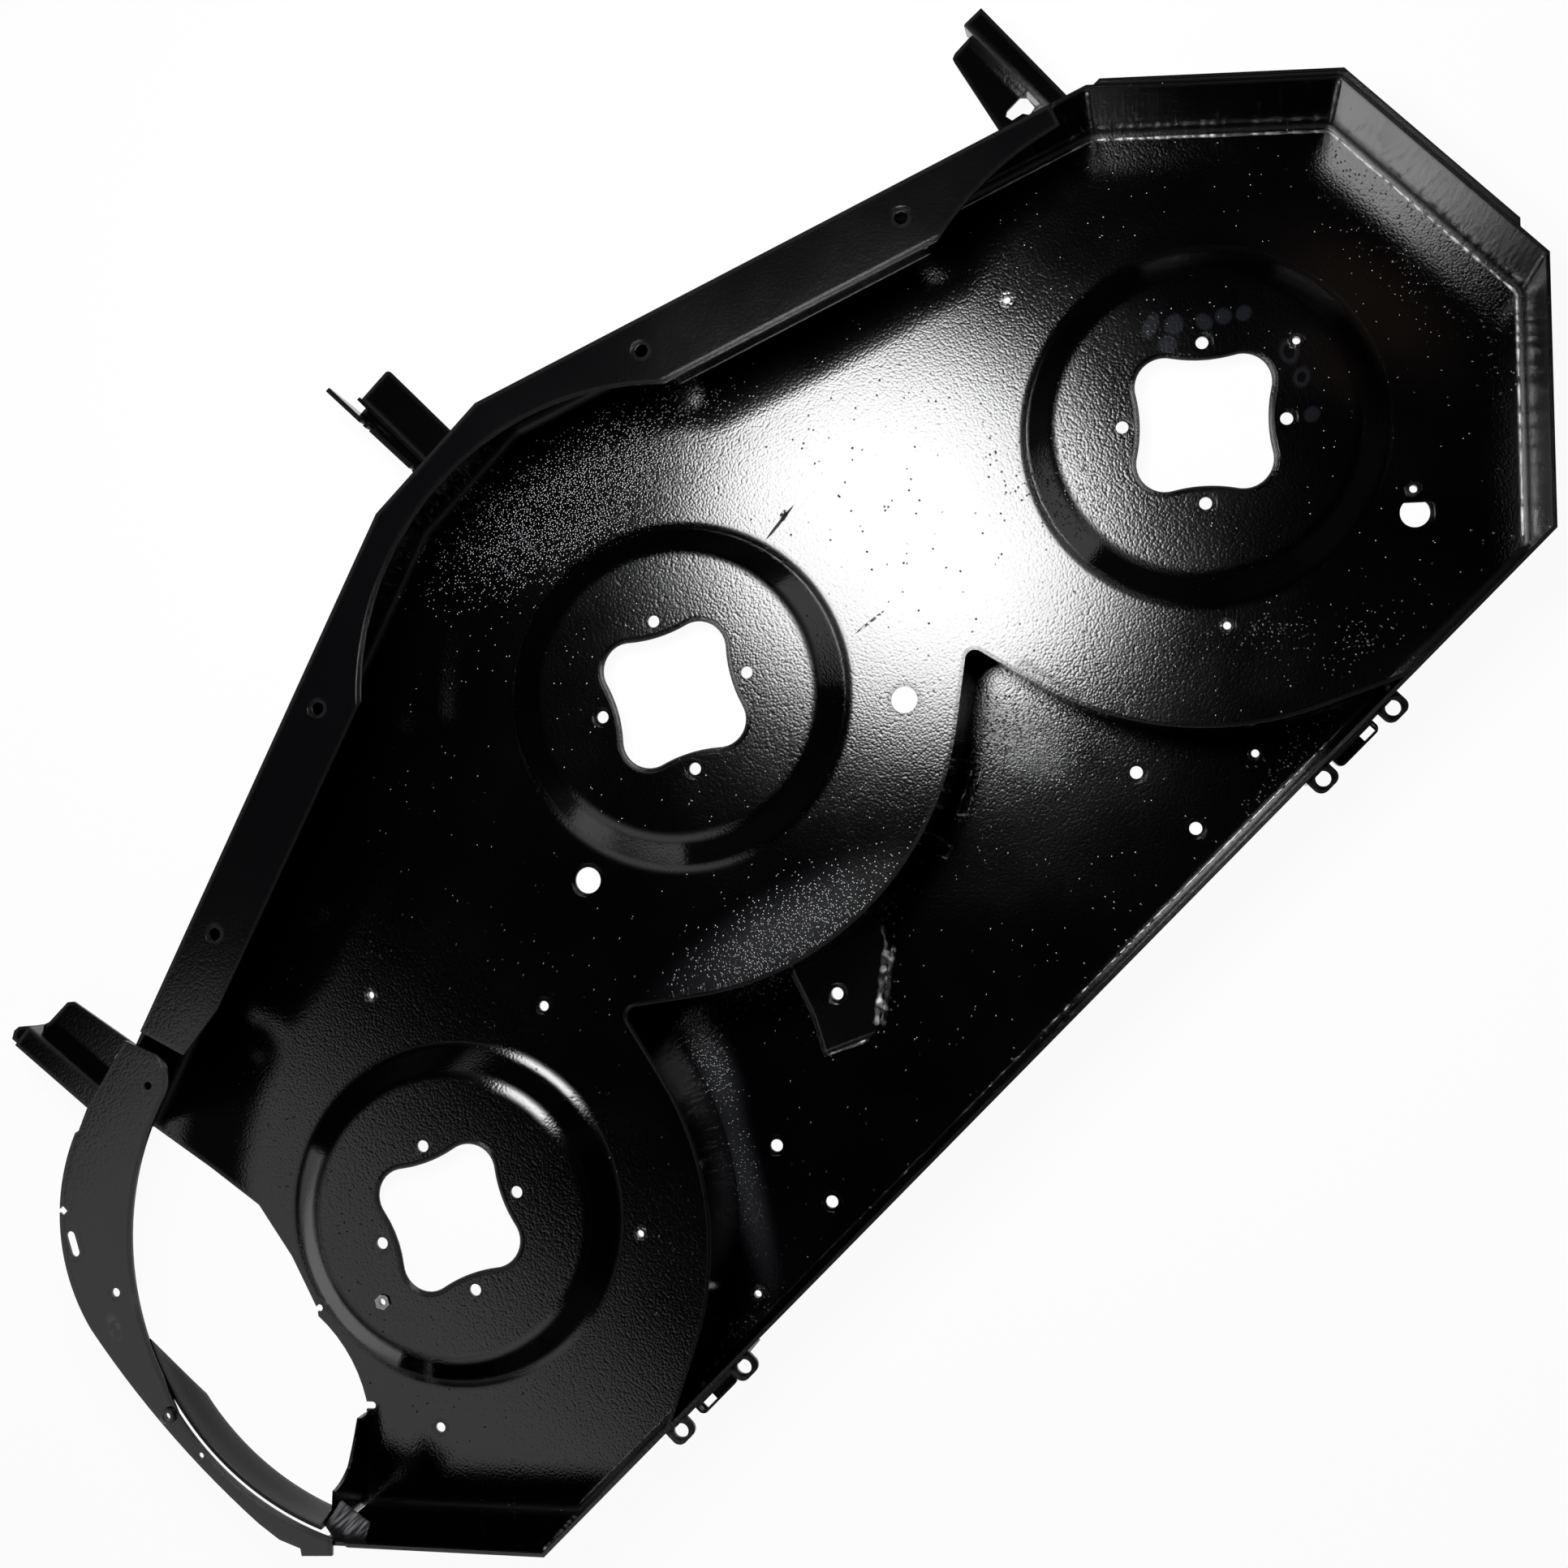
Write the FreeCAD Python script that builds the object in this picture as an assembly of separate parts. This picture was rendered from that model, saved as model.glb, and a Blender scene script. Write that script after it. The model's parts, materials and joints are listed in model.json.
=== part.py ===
import FreeCAD, Part
import math
import os

from FreeCAD import Vector

os.makedirs("parts", exist_ok=True)

# Sheet metal and overall shape, in mm
# The deck lies upside down: z = 0 is the face of the top plate that touches the floor
SHEET = 3.0
BEND_IN = 4.0
WALL_H = 107.0
RAIL_T = 3.0
END_FRONT_Y = 94.0
END_REAR_Y = -108.0
REAR_CORNER_X = 548.0
FRONT_CORNER_X = 563.0
NOSE_LEFT_X = 66.0
NOSE_RIGHT_X = -54.0
FRONT_RIGHT_SLOPE = 0.3291
FAR_RIGHT_X = -760.0

# Three spindle seats: x, y and the turn of the bolt holes in degrees
SPINDLES = {
    "left": (448.0, 0.0, 45.0),
    "centre": (0.0, 163.4, 60.2),
    "right": (-448.0, 0.0, 65.6),
}
BOSS_FOOT_R = 143.0
BOSS_TOP_R = 119.0
BOSS_RISE = 19.0
BOSS_FOLD = 3.0
BOSS_MARGIN = 5.0
BOLT_CIRCLE_R = 63.5
BOLT_HOLE_R = 5.0
BOLT_COUNT = 4
LOBE_CENTRE_R = 42.0
LOBE_R = 24.0
WAIST_R = 50.0

# Blade chambers, the walls round them and the bend at each cusp of the rear baffle
CHAMBER_R = 241.5
CUSP_R = 10.5
CUSP_DROP = 89.8
BAFFLE_END_ANGLE = 244.0
RAIL_OVERHANG = 2.0
RAIL_ARC_R = CHAMBER_R - RAIL_OVERHANG
REAR_Y = -(CHAMBER_R + 8.5)
END_X = SPINDLES["left"][0] + CHAMBER_R + 0.5
NOSE_Y = SPINDLES["centre"][1] + CHAMBER_R + 21.1
FRONT_CORNER_Y = CHAMBER_R - 9.5

# Holes through the top plate: x, y, radius
PLAIN_HOLES = [
    (-165.2, 113.6, 11.0),
    (127.2, 24.4, 11.0),
    (213.2, REAR_Y + 33.9, 5.1),
    (213.2, REAR_Y + 98.2, 5.1),
    (-209.2, REAR_Y + 32.9, 5.1),
    (-209.2, REAR_Y + 96.9, 5.1),
    (-587.2, -115.3, 4.2),
    (-267.9, 67.7, 4.2),
]
DRAIN_X = 507.8
DRAIN_Y = -166.6
DRAIN_R = 11.5
DRAIN_FLAT = 8.0
DRAIN_TURN = 45.0
NUT_SEATS = [(287.9, REAR_Y + 41.7), (418.4, 188.2), (-307.3, REAR_Y + 23.6), (-369.5, 182.9)]
# Nuts beside a boss: spindle, distance out from the boss foot and angle
FOOT_NUT_SEATS = [("left", 16.4, 230.3), ("left", 26.0, 295.2), ("right", 18.3, 310.2)]
RAISED_NUT_SEATS = [(541.6, -8.4), (-540.3, -8.5)]
NUT_FLATS = 11.6
NUT_SIDES = 6
NUT_HOLE_R = 3.1
NUT_H = 2.4
TAB_SLOT_DEPTH = 1.5
# Spindle, distances from the chamber radius and the angles at both ends
TAB_SLOTS = [
    ("left", -9.0, -0.5, 186.0, 199.0),
    ("left", -9.0, -2.5, 206.0, 208.0),
    ("centre", 4.0, 13.0, 290.8, 300.4),
    ("centre", 4.0, 10.5, 283.2, 285.0),
]

# Patch on the top plate behind the centre chamber
PATCH = [(-18.0, -80.0), (-16.5, -88.0), (-42.0, -124.5), (-86.0, -148.5), (-128.0, -129.5), (-111.5, -99.0), (-98.0, -60.0)]
PATCH_T = 3.0
PATCH_HOLE = (-83.6, -102.6)
PATCH_HOLE_R = 5.1

# Front rail
RAIL_LEFT_X = 535.0
RAIL_END = [(-497.0, 280.2), (-484.0, 240.0), (-435.5, 245.0)]
RAIL_HOLES = [(397.8, 269.0), (187.3, 352.2), (-200.9, 352.8), (-394.1, 289.3)]
RAIL_HOLE_R = 5.2
LIP_H = 24.0
LIP_END_GAP = 9.0

# Discharge side
CUT_LINE = [(-592.5, 242.0), (-580.4, 183.5), (-571.4, 130.0), (-581.0, 78.0), (-596.5, 30.0), (-600.0, 26.0)]
CUT_BITE = (-594.5, 30.0, 3.0)
CUT_MID = (-602.9, -14.1)
CUT_FOOT = (-619.3, -53.9)
FLANGE_START = (-622.0, -57.0)
FLANGE_TURN = 221.7
FLANGE_FROM = 5.5
FLANGE_RISE = [(0.0, 22.0), (25.0, 31.5), (41.0, 40.0), (48.0, 52.0), (52.0, 70.0)]
FLANGE_LONG = 130.0
NOTCH_TIP = (-618.6, -60.6)
NOTCH_TURN = 135.5
NOTCH_R = 3.1
DISCHARGE_C = (-454.0, -3.0)
SIDE_RAIL_R = (240.2, 244.6)
SIDE_RAIL_ANGLES = (105.6, 162.0, 170.0, 208.8)
SIDE_RAIL_END = [(-500.3, 257.0), (-511.9, 284.3), (-576.4, 269.3), (-594.2, 262.0), (-597.6, 263.0)]
SIDE_RAIL_NOSE = (-503.2, 241.0)
SIDE_RAIL_BOW = [(-666.1, 214.2), (-702.2, 140.4), (-711.2, 20.0), (-706.2, -70.0)]
SIDE_RAIL_TIP = [(-702.3, -90.7), (-694.0, -107.8), (-697.4, -112.8), (-678.1, -130.3)]
WEB_R = 239.5
WEB_FOOT_Z = 62.0
WEB_ANGLES = (154.2, 206.0)
WEB_TAPER_END = 169.5
CORNER_TAB = [(-648.3, -104.1), (-674.0, -122.0), (-656.0, -140.0), (-643.0, -133.5)]
CORNER_TAB_Z = 95.0
SIDE_SEAT_X = -664.0
RIVNUT = (-701.6, 44.1)
RIVNUT_R = 6.6
RIVNUT_HOLE_R = 3.2
RIVNUT_H = 4.0
RAIL_SIDE_HOLES = [(-523.9, 244.4, 3.4), (-664.8, 146.2, 3.7), (-704.2, 2.3, 2.4)]
SIDE_SQUARE = (-651.3, 226.0, 6.0)
SIDE_SLOT = (-664.2, 200.5, 3.9, 13.7, 62.0)

# Strip outside the left end
STRIP_T = 4.5
STRIP_H = 20.0
STRIP_FRONT_Y = 228.0
STRIP_REAR_Y = -80.0

# Front brackets: high leaf, step and low leaf, then the plate with the hanger hole
ARM_T = 3.0
ARM_HIGH_Z = 60.0
ARM_LOW_Z = 36.0
ARM_ROOT = 190.0
ARM_LEFT_X = 546.4
ARM_LEFT_TIP = NOSE_Y - 74.4
ARM_LEFT_LEAN = 3.9
ARM_LEFT_LEAF = 18.6
ARM_LEFT_PLATE = [
    (549.0, NOSE_Y - 76.6), (530.0, NOSE_Y - 76.6), (526.0, NOSE_Y - 78.2), (524.8, NOSE_Y - 81.4),
    (508.9, NOSE_Y - 144.4), (495.0, NOSE_Y - 200.0), (538.0, NOSE_Y - 226.0),
]
ARM_RIGHT_X = -588.2
ARM_RIGHT_TIP = NOSE_Y - 55.0
ARM_RIGHT_LEAN = -6.5
ARM_RIGHT_LEAF = 20.2
ARM_RIGHT_PLATE = [
    (-583.0, NOSE_Y - 57.6), (-558.8, NOSE_Y - 57.8), (-554.4, NOSE_Y - 61.6), (-541.7, NOSE_Y - 121.1),
    (-528.0, NOSE_Y - 186.0), (-590.0, NOSE_Y - 206.0), (-603.0, NOSE_Y - 186.0), (-618.5, NOSE_Y - 42.9),
    (-612.1, NOSE_Y - 39.3), (-606.5, NOSE_Y - 40.0), (-588.4, NOSE_Y - 55.5),
]
BELL = [
    (538.3, NOSE_Y - 141.0), (541.7, NOSE_Y - 145.1), (540.4, NOSE_Y - 155.3), (533.2, NOSE_Y - 156.8),
    (530.3, NOSE_Y - 151.6), (521.0, NOSE_Y - 149.0), (520.0, NOSE_Y - 142.8), (524.0, NOSE_Y - 140.6),
]
BELL_MIRROR_X = -11.7
BELL_MIRROR_Y = 18.9
ARM_MID_X = -4.0
ARM_MID_TIP = NOSE_Y + 106.0
ARM_MID_W = 33.0
ARM_MID_WEB_Z = 42.0
ARM_MID_FOOT_X = -14.5
ARM_MID_FOOT_TIP = NOSE_Y + 98.0
BLADE_X = -14.0
BLADE_T = 4.0
BLADE_TIP = NOSE_Y + 123.5
BLADE_LEAN = -1.6
BLADE_TIP_H = 6.0
BLADE_NOTCHES = [(NOSE_Y + 81.0, 4.0), (NOSE_Y + 73.5, 4.0), (NOSE_Y + 22.5, 3.5)]
BLADE_NOTCH_DEPTH = 12.0

# Rear brackets: mid x and the end the loop opens to
REAR_BRACKETS = {"left": (341.3, 1), "right": (-369.6, -1)}
EAR_SPREAD = 73.0
EAR_W = 22.0
EAR_REACH = 16.4
EAR_HOLE_OUT = 7.6
EAR_HOLE_R = 5.8
EAR_T = 4.0
EAR_TOP_Z = 80.0
EAR_CORNER_R = 7.0
EAR_BACK_H = 42.0
LOOP_W = 42.0
LOOP_REACH = 9.4
LOOP_T = 2.0
LOOP_H = 14.0
LOOP_Z = 50.0
LOOP_WINDOW_W = 11.0


def front_right_y(x):
    # Height of the slanted front right wall line at x
    return NOSE_Y + FRONT_RIGHT_SLOPE * (x - NOSE_RIGHT_X)


def front_left_y(x):
    slope = (NOSE_Y - FRONT_CORNER_Y) / (NOSE_LEFT_X - FRONT_CORNER_X)
    return NOSE_Y + slope * (x - NOSE_LEFT_X)


def outline():
    # Outer faces of the bent walls, run on past the open discharge side
    return [
        (REAR_CORNER_X, REAR_Y),
        (END_X, END_REAR_Y),
        (END_X, END_FRONT_Y),
        (FRONT_CORNER_X, FRONT_CORNER_Y),
        (NOSE_LEFT_X, NOSE_Y),
        (NOSE_RIGHT_X, NOSE_Y),
        (FAR_RIGHT_X, front_right_y(FAR_RIGHT_X)),
        (FAR_RIGHT_X, REAR_Y - (FAR_RIGHT_X + REAR_CORNER_X)),
        (-REAR_CORNER_X, REAR_Y),
    ]


def wire_of(points, z):
    ring = [Vector(x, y, z) for x, y in points]
    return Part.makePolygon(ring + [ring[0]])


def prism(points, z0, z1):
    face = Part.Face(wire_of(points, z0))
    return face.extrude(Vector(0, 0, z1 - z0))


def box_between(low, high):
    size = [b - a for a, b in zip(low, high)]
    return Part.makeBox(size[0], size[1], size[2], Vector(*low))


def drill(x, y, radius, z0, z1):
    return Part.makeCylinder(radius, z1 - z0, Vector(x, y, z0))


def at_angle(centre, radius, angle):
    turn = math.radians(angle)
    return Vector(centre[0] + radius * math.cos(turn), centre[1] + radius * math.sin(turn), 0)


def arc_through(centre, radius, start, end):
    middle = 0.5 * (start + end)
    points = [at_angle(centre, radius, a) for a in (start, middle, end)]
    return Part.Arc(points[0], points[1], points[2]).toShape()


def line(a, b):
    return Part.LineSegment(a, b).toShape()


def extrude_edges(edges, z0, z1):
    face = Part.Face(Part.Wire(edges))
    face.translate(Vector(0, 0, z0))
    return face.extrude(Vector(0, 0, z1 - z0))


def angle_of(origin, point):
    return math.degrees(math.atan2(point[1] - origin[1], point[0] - origin[0]))


def bottom_edges(solid, z):
    found = []
    for edge in solid.Edges:
        ends = edge.BoundBox
        if ends.ZMax < z + 0.01 and ends.ZMin > z - 0.01:
            found.append(edge)
    return found


def tray(points, z0, z1, radius):
    solid = prism(points, z0, z1)
    return solid.makeFillet(radius, bottom_edges(solid, z0))


def inner_outline(offset):
    # The wall line moved inwards by the sheet thickness
    wire = wire_of(outline(), 0).makeOffset2D(-offset)
    return [(v.Point.x, v.Point.y) for v in wire.OrderedVertexes]


def lobe_outline(centre, turn):
    # Four round lobes joined by shallow waists that bulge in at the bolts
    half_step = 180.0 / BOLT_COUNT
    cosine = math.cos(math.radians(half_step))
    top = WAIST_R ** 2 + LOBE_CENTRE_R ** 2 - 2 * WAIST_R * LOBE_CENTRE_R * cosine - LOBE_R ** 2
    waist_bow = top / (2 * LOBE_R - 2 * WAIST_R + 2 * LOBE_CENTRE_R * cosine)
    waist_centre_r = WAIST_R + waist_bow
    edges = []
    for index in range(BOLT_COUNT):
        waist_angle = turn + 2 * half_step * index
        waist_centre = at_angle(centre, waist_centre_r, waist_angle)
        lobes = [at_angle(centre, LOBE_CENTRE_R, waist_angle + side * half_step) for side in (-1, 1, 3)]
        joins = []
        for lobe in lobes[:2]:
            reach = (waist_centre - lobe).normalize() * LOBE_R
            joins.append(lobe + reach)
        low_point = at_angle(centre, WAIST_R, waist_angle)
        edges.append(Part.Arc(joins[0], low_point, joins[1]).toShape())
        next_waist = at_angle(centre, waist_centre_r, waist_angle + 2 * half_step)
        next_join = lobes[1] + (next_waist - lobes[1]).normalize() * LOBE_R
        tip = at_angle(centre, LOBE_CENTRE_R + LOBE_R, waist_angle + half_step)
        edges.append(Part.Arc(joins[1], tip, next_join).toShape())
    return edges


def boss(centre):
    # The seat is drawn from the plate itself, so the thickness stays the same all over
    lower = [
        Vector(BOSS_FOOT_R + BOSS_MARGIN, 0, 0),
        Vector(BOSS_FOOT_R, 0, 0),
        Vector(BOSS_TOP_R, 0, BOSS_RISE),
        Vector(0, 0, BOSS_RISE),
    ]
    upper = [p + Vector(0, 0, SHEET) for p in lower]
    face = Part.Face(Part.makePolygon(lower + upper[::-1] + [lower[0]]))
    solid = face.revolve(Vector(0, 0, 0), Vector(0, 0, 1), 360)
    folds = []
    for edge in solid.Edges:
        if not hasattr(edge.Curve, "Radius"):
            continue
        for radius in (BOSS_FOOT_R, BOSS_TOP_R):
            if abs(edge.Curve.Radius - radius) < 0.01:
                folds.append(edge)
    solid = solid.makeChamfer(BOSS_FOLD, folds)
    solid.translate(Vector(centre[0], centre[1], 0))
    return solid


def flange_axes():
    # Along the turned-up flange and square to it, towards the deck
    turn = math.radians(FLANGE_TURN)
    along = Vector(math.cos(turn), math.sin(turn), 0)
    return Vector(FLANGE_START[0], FLANGE_START[1], 0), along, Vector(-along.y, along.x, 0)


def discharge_gap():
    # Everything that is open at the discharge side, from the plate edge outwards
    far_x = FAR_RIGHT_X - FLANGE_LONG
    front_y = front_right_y(CUT_LINE[0][0]) + FLANGE_LONG
    corners = [(CUT_LINE[0][0], front_y)] + CUT_LINE
    points = [Vector(x, y, 0) for x, y in corners]
    edges = [line(a, b) for a, b in zip(points, points[1:])]
    foot = Vector(CUT_FOOT[0], CUT_FOOT[1], 0)
    edges.append(Part.Arc(points[-1], Vector(CUT_MID[0], CUT_MID[1], 0), foot).toShape())
    start, along, inward = flange_axes()
    turn_in = start + along * FLANGE_FROM + inward * (BEND_IN + SHEET)
    far = turn_in + along * (FLANGE_LONG + 40)
    tail = [foot, start, start + along * FLANGE_FROM, turn_in, far]
    tail += [Vector(far_x, far.y, 0), Vector(far_x, front_y, 0), points[0]]
    edges += [line(a, b) for a, b in zip(tail, tail[1:])]
    return extrude_edges(edges, -1, WALL_H + 1)


def discharge_flange():
    # The plate's own edge, bent up next to the rear right wall and cut to a curve
    start, along, inward = flange_axes()
    outer = BEND_IN + SHEET
    slant = math.sqrt(0.5)
    section = [
        line(Vector(outer, 0, 0), Vector(outer, 0, SHEET)),
        Part.Arc(
            Vector(outer, 0, SHEET),
            Vector(outer - BEND_IN * slant, 0, outer - BEND_IN * slant),
            Vector(SHEET, 0, outer),
        ).toShape(),
        line(Vector(SHEET, 0, outer), Vector(SHEET, 0, WALL_H)),
        line(Vector(SHEET, 0, WALL_H), Vector(0, 0, WALL_H)),
        line(Vector(0, 0, WALL_H), Vector(0, 0, outer)),
        Part.Arc(
            Vector(0, 0, outer),
            Vector(outer - outer * slant, 0, outer - outer * slant),
            Vector(outer, 0, 0),
        ).toShape(),
    ]
    bar = Part.Face(Part.Wire(section)).extrude(Vector(0, FLANGE_LONG, 0))
    side = [Vector(-1, y, z) for y, z in FLANGE_RISE]
    low = Vector(-1, FLANGE_FROM, -1)
    top_y = FLANGE_LONG - 1
    side_edges = [
        Part.Arc(side[0], side[1], side[2]).toShape(),
        Part.Arc(side[2], side[3], side[4]).toShape(),
        line(side[4], Vector(-1, top_y, side[4].z)),
        line(Vector(-1, top_y, side[4].z), Vector(-1, top_y, -1)),
        line(Vector(-1, top_y, -1), Vector(-1, 0, -1)),
        line(Vector(-1, 0, -1), side[0]),
    ]
    profile = Part.Face(Part.Wire(side_edges)).extrude(Vector(outer + 2, 0, 0))
    trim = box_between((-2, FLANGE_FROM, -2), (outer + 2, FLANGE_LONG, WALL_H))
    flange = bar.common(profile).common(trim)
    # Local x is square to the flange and local y runs along it
    flange.rotate(Vector(0, 0, 0), Vector(0, 0, 1), FLANGE_TURN - 90.0)
    if inward.dot(Vector(math.cos(math.radians(FLANGE_TURN - 90)), math.sin(math.radians(FLANGE_TURN - 90)), 0)) < 0:
        flange = flange.mirror(Vector(0, 0, 0), inward)
    flange.translate(start)
    return flange.common(prism(outline(), -1, WALL_H + 1))


def relief_notch():
    solid = box_between((0, -NOTCH_R, -1), (30, NOTCH_R, SHEET + 1))
    solid = solid.fuse(drill(0, 0, NOTCH_R, -1, SHEET + 1))
    solid.rotate(Vector(0, 0, 0), Vector(0, 0, 1), NOTCH_TURN)
    solid.translate(Vector(NOTCH_TIP[0], NOTCH_TIP[1], 0))
    return solid


def drain_hole():
    solid = drill(0, 0, DRAIN_R, -1, SHEET + 1)
    solid = solid.cut(box_between((DRAIN_FLAT, -20, -2), (30, 20, SHEET + 2)))
    solid.rotate(Vector(0, 0, 0), Vector(0, 0, 1), DRAIN_TURN)
    solid.translate(Vector(DRAIN_X, DRAIN_Y, 0))
    return solid


def tab_slot(spindle, low, high, start, end):
    centre = SPINDLES[spindle][:2]
    low_r = CHAMBER_R + low
    high_r = CHAMBER_R + high
    arcs = [arc_through(centre, radius, start, end) for radius in (low_r, high_r)]
    ends = [line(at_angle(centre, low_r, angle), at_angle(centre, high_r, angle)) for angle in (start, end)]
    return extrude_edges(Part.sortEdges(arcs + ends)[0], SHEET - TAB_SLOT_DEPTH, SHEET + 1)


def low_nut_seats():
    beside = []
    for spindle, gap, angle in FOOT_NUT_SEATS:
        spot = at_angle(SPINDLES[spindle], BOSS_FOOT_R + gap, angle)
        beside.append((spot.x, spot.y))
    return NUT_SEATS + beside


def deck_shell():
    shell = tray(outline(), 0, WALL_H, BEND_IN + SHEET)
    shell = shell.cut(tray(inner_outline(SHEET), SHEET, WALL_H + 1, BEND_IN))
    shell = shell.cut(discharge_gap())
    shell = shell.fuse(discharge_flange())
    shell = shell.cut(relief_notch())
    for x, y, turn in SPINDLES.values():
        seat_hole = drill(x, y, BOSS_FOOT_R + BOSS_MARGIN, -1, SHEET + 1)
        shell = shell.cut(seat_hole).fuse(boss((x, y)))
    cutters = []
    for x, y, turn in SPINDLES.values():
        cutters.append(extrude_edges(lobe_outline((x, y), turn), BOSS_RISE - 1, BOSS_RISE + SHEET + 1))
        for index in range(BOLT_COUNT):
            spot = at_angle((x, y), BOLT_CIRCLE_R, turn + index * 360.0 / BOLT_COUNT)
            cutters.append(drill(spot.x, spot.y, BOLT_HOLE_R, BOSS_RISE - 1, BOSS_RISE + SHEET + 1))
    for x, y, radius in PLAIN_HOLES:
        cutters.append(drill(x, y, radius, -1, SHEET + 1))
    for x, y in low_nut_seats():
        cutters.append(drill(x, y, NUT_HOLE_R, -1, SHEET + 1))
    for x, y in RAISED_NUT_SEATS:
        cutters.append(drill(x, y, NUT_HOLE_R, BOSS_RISE - 1, BOSS_RISE + SHEET + 1))
    cutters.append(drill(PATCH_HOLE[0], PATCH_HOLE[1], PATCH_HOLE_R, -1, SHEET + 1))
    cutters.append(drain_hole())
    cutters.append(drill(CUT_BITE[0], CUT_BITE[1], CUT_BITE[2], -1, SHEET + 1))
    for slot in TAB_SLOTS:
        cutters.append(tab_slot(*slot))
    # The rim is lower where a rail lies on it
    seat_y = FRONT_CORNER_Y - 52.0
    seat = box_between((CUT_LINE[0][0] - 1, seat_y, WALL_H - RAIL_T), (RAIL_LEFT_X, NOSE_Y + 1, WALL_H + 1))
    end_seat = box_between((FAR_RIGHT_X, REAR_Y, WALL_H - RAIL_T), (SIDE_SEAT_X, 0, WALL_H + 1))
    return shell.cut(cutters + [seat, end_seat]).removeSplitter()


def front_rail():
    left = SPINDLES["left"][:2]
    centre = SPINDLES["centre"][:2]
    arc_l0 = at_angle(left, RAIL_ARC_R, 70.4)
    arc_l1 = at_angle(left, RAIL_ARC_R, 100.6)
    arc_c0 = at_angle(centre, RAIL_ARC_R, 41.2)
    arc_c1 = at_angle(centre, RAIL_ARC_R, 135.9)
    end = [Vector(x, y, 0) for x, y in RAIL_END]
    outer = [
        Vector(RAIL_LEFT_X, front_left_y(RAIL_LEFT_X), 0),
        Vector(NOSE_LEFT_X, NOSE_Y, 0),
        Vector(NOSE_RIGHT_X, NOSE_Y, 0),
    ] + end
    edges = [line(a, b) for a, b in zip(outer, outer[1:])]
    edges.append(line(end[-1], arc_c1))
    edges.append(arc_through(centre, RAIL_ARC_R, 135.9, 41.2))
    edges.append(line(arc_c0, arc_l1))
    edges.append(arc_through(left, RAIL_ARC_R, 100.6, 70.4))
    edges.append(line(arc_l0, outer[0]))
    rail = extrude_edges(edges, WALL_H - RAIL_T, WALL_H)
    # Lip turned down along the straight edge between the two chambers
    along = (arc_l1 - arc_c0).normalize()
    inward = Vector(-along.y, along.x, 0)
    a = arc_c0 + along * LIP_END_GAP
    b = arc_l1 - along * LIP_END_GAP
    ring = [a, b, b + inward * RAIL_T, a + inward * RAIL_T]
    lip = prism([(p.x, p.y) for p in ring], WALL_H - LIP_H, WALL_H)
    rail = rail.fuse(lip).removeSplitter()
    holes = [drill(x, y, RAIL_HOLE_R, WALL_H - RAIL_T - 1, WALL_H + 1) for x, y in RAIL_HOLES]
    return rail.cut(holes)


def cusp():
    # On the line midway between two spindles, deeper the more the chambers overlap
    left, centre = (SPINDLES[name][:2] for name in ("left", "centre"))
    across = Vector(left[0] - centre[0], left[1] - centre[1], 0)
    depth = 2 * CHAMBER_R - across.Length + CUSP_DROP
    along = across.normalize()
    backwards = Vector(along.y, -along.x, 0)
    middle = Vector((left[0] + centre[0]) / 2, (left[1] + centre[1]) / 2, 0)
    return middle + backwards * depth


def tangent_angle(centre, tip):
    # Half angle at the centre between the line to the tip and the straight run's touch point
    reach = math.hypot(tip[0] - centre[0], tip[1] - centre[1])
    return math.degrees(math.acos((CHAMBER_R + CUSP_R) / reach))


def baffle_side(offset):
    # One face of the bent sheet, from the rear wall right of the deck to the rear wall left
    centre, left = (SPINDLES[name][:2] for name in ("centre", "left"))
    tip = cusp()
    tip_l = (tip.x, tip.y)
    radius = CHAMBER_R + offset
    bend = CUSP_R - offset
    swing = tangent_angle(left, tip_l)
    swing_mid = tangent_angle(centre, tip_l)
    left_touch = angle_of(left, tip_l) % 360 + swing
    mid_touch_l = angle_of(centre, tip_l) % 360 - swing_mid
    mid_touch_r = 540.0 - mid_touch_l
    # Straight ends run on along the tangent to the rear wall
    end_l = at_angle(left, radius, BAFFLE_END_ANGLE)
    end_turn = math.radians(BAFFLE_END_ANGLE + 90.0)
    run = (REAR_Y - 5.0 - end_l.y) / math.sin(end_turn)
    far_l = end_l + Vector(math.cos(end_turn), math.sin(end_turn), 0) * run
    tip_l_a = at_angle(tip_l, bend, mid_touch_l - 180.0)
    tip_l_b = at_angle(tip_l, bend, left_touch - 180.0)
    tip_l_top = at_angle(tip_l, bend, 0.5 * (mid_touch_l - 180.0 + left_touch - 180.0))
    edges = [
        line(far_l, end_l),
        arc_through(left, radius, BAFFLE_END_ANGLE, left_touch),
        line(at_angle(left, radius, left_touch), tip_l_b),
        Part.Arc(tip_l_b, tip_l_top, tip_l_a).toShape(),
        line(tip_l_a, at_angle(centre, radius, mid_touch_l)),
        arc_through(centre, radius, mid_touch_l, mid_touch_r),
    ]
    mirrored = []
    for edge in edges[:-1]:
        mirrored.append(edge.mirror(Vector(0, 0, 0), Vector(1, 0, 0)))
    return edges + mirrored, far_l


def rear_baffle():
    # One sheet on edge, bent round both cusps
    near, near_end = baffle_side(0)
    far, far_end = baffle_side(SHEET)
    ends = [line(near_end, far_end)]
    ends.append(ends[0].mirror(Vector(0, 0, 0), Vector(1, 0, 0)))
    sheet = extrude_edges(Part.sortEdges(near + far + ends)[0], SHEET, WALL_H)
    inner_y = REAR_Y + SHEET
    behind = box_between((-END_X, REAR_Y - 20, 0), (END_X, inner_y, WALL_H + 1))
    corner = box_between((-END_X, inner_y - 1, 0), (END_X, inner_y + BEND_IN + 1, SHEET + BEND_IN + 1))
    return sheet.cut([behind, corner])


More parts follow.
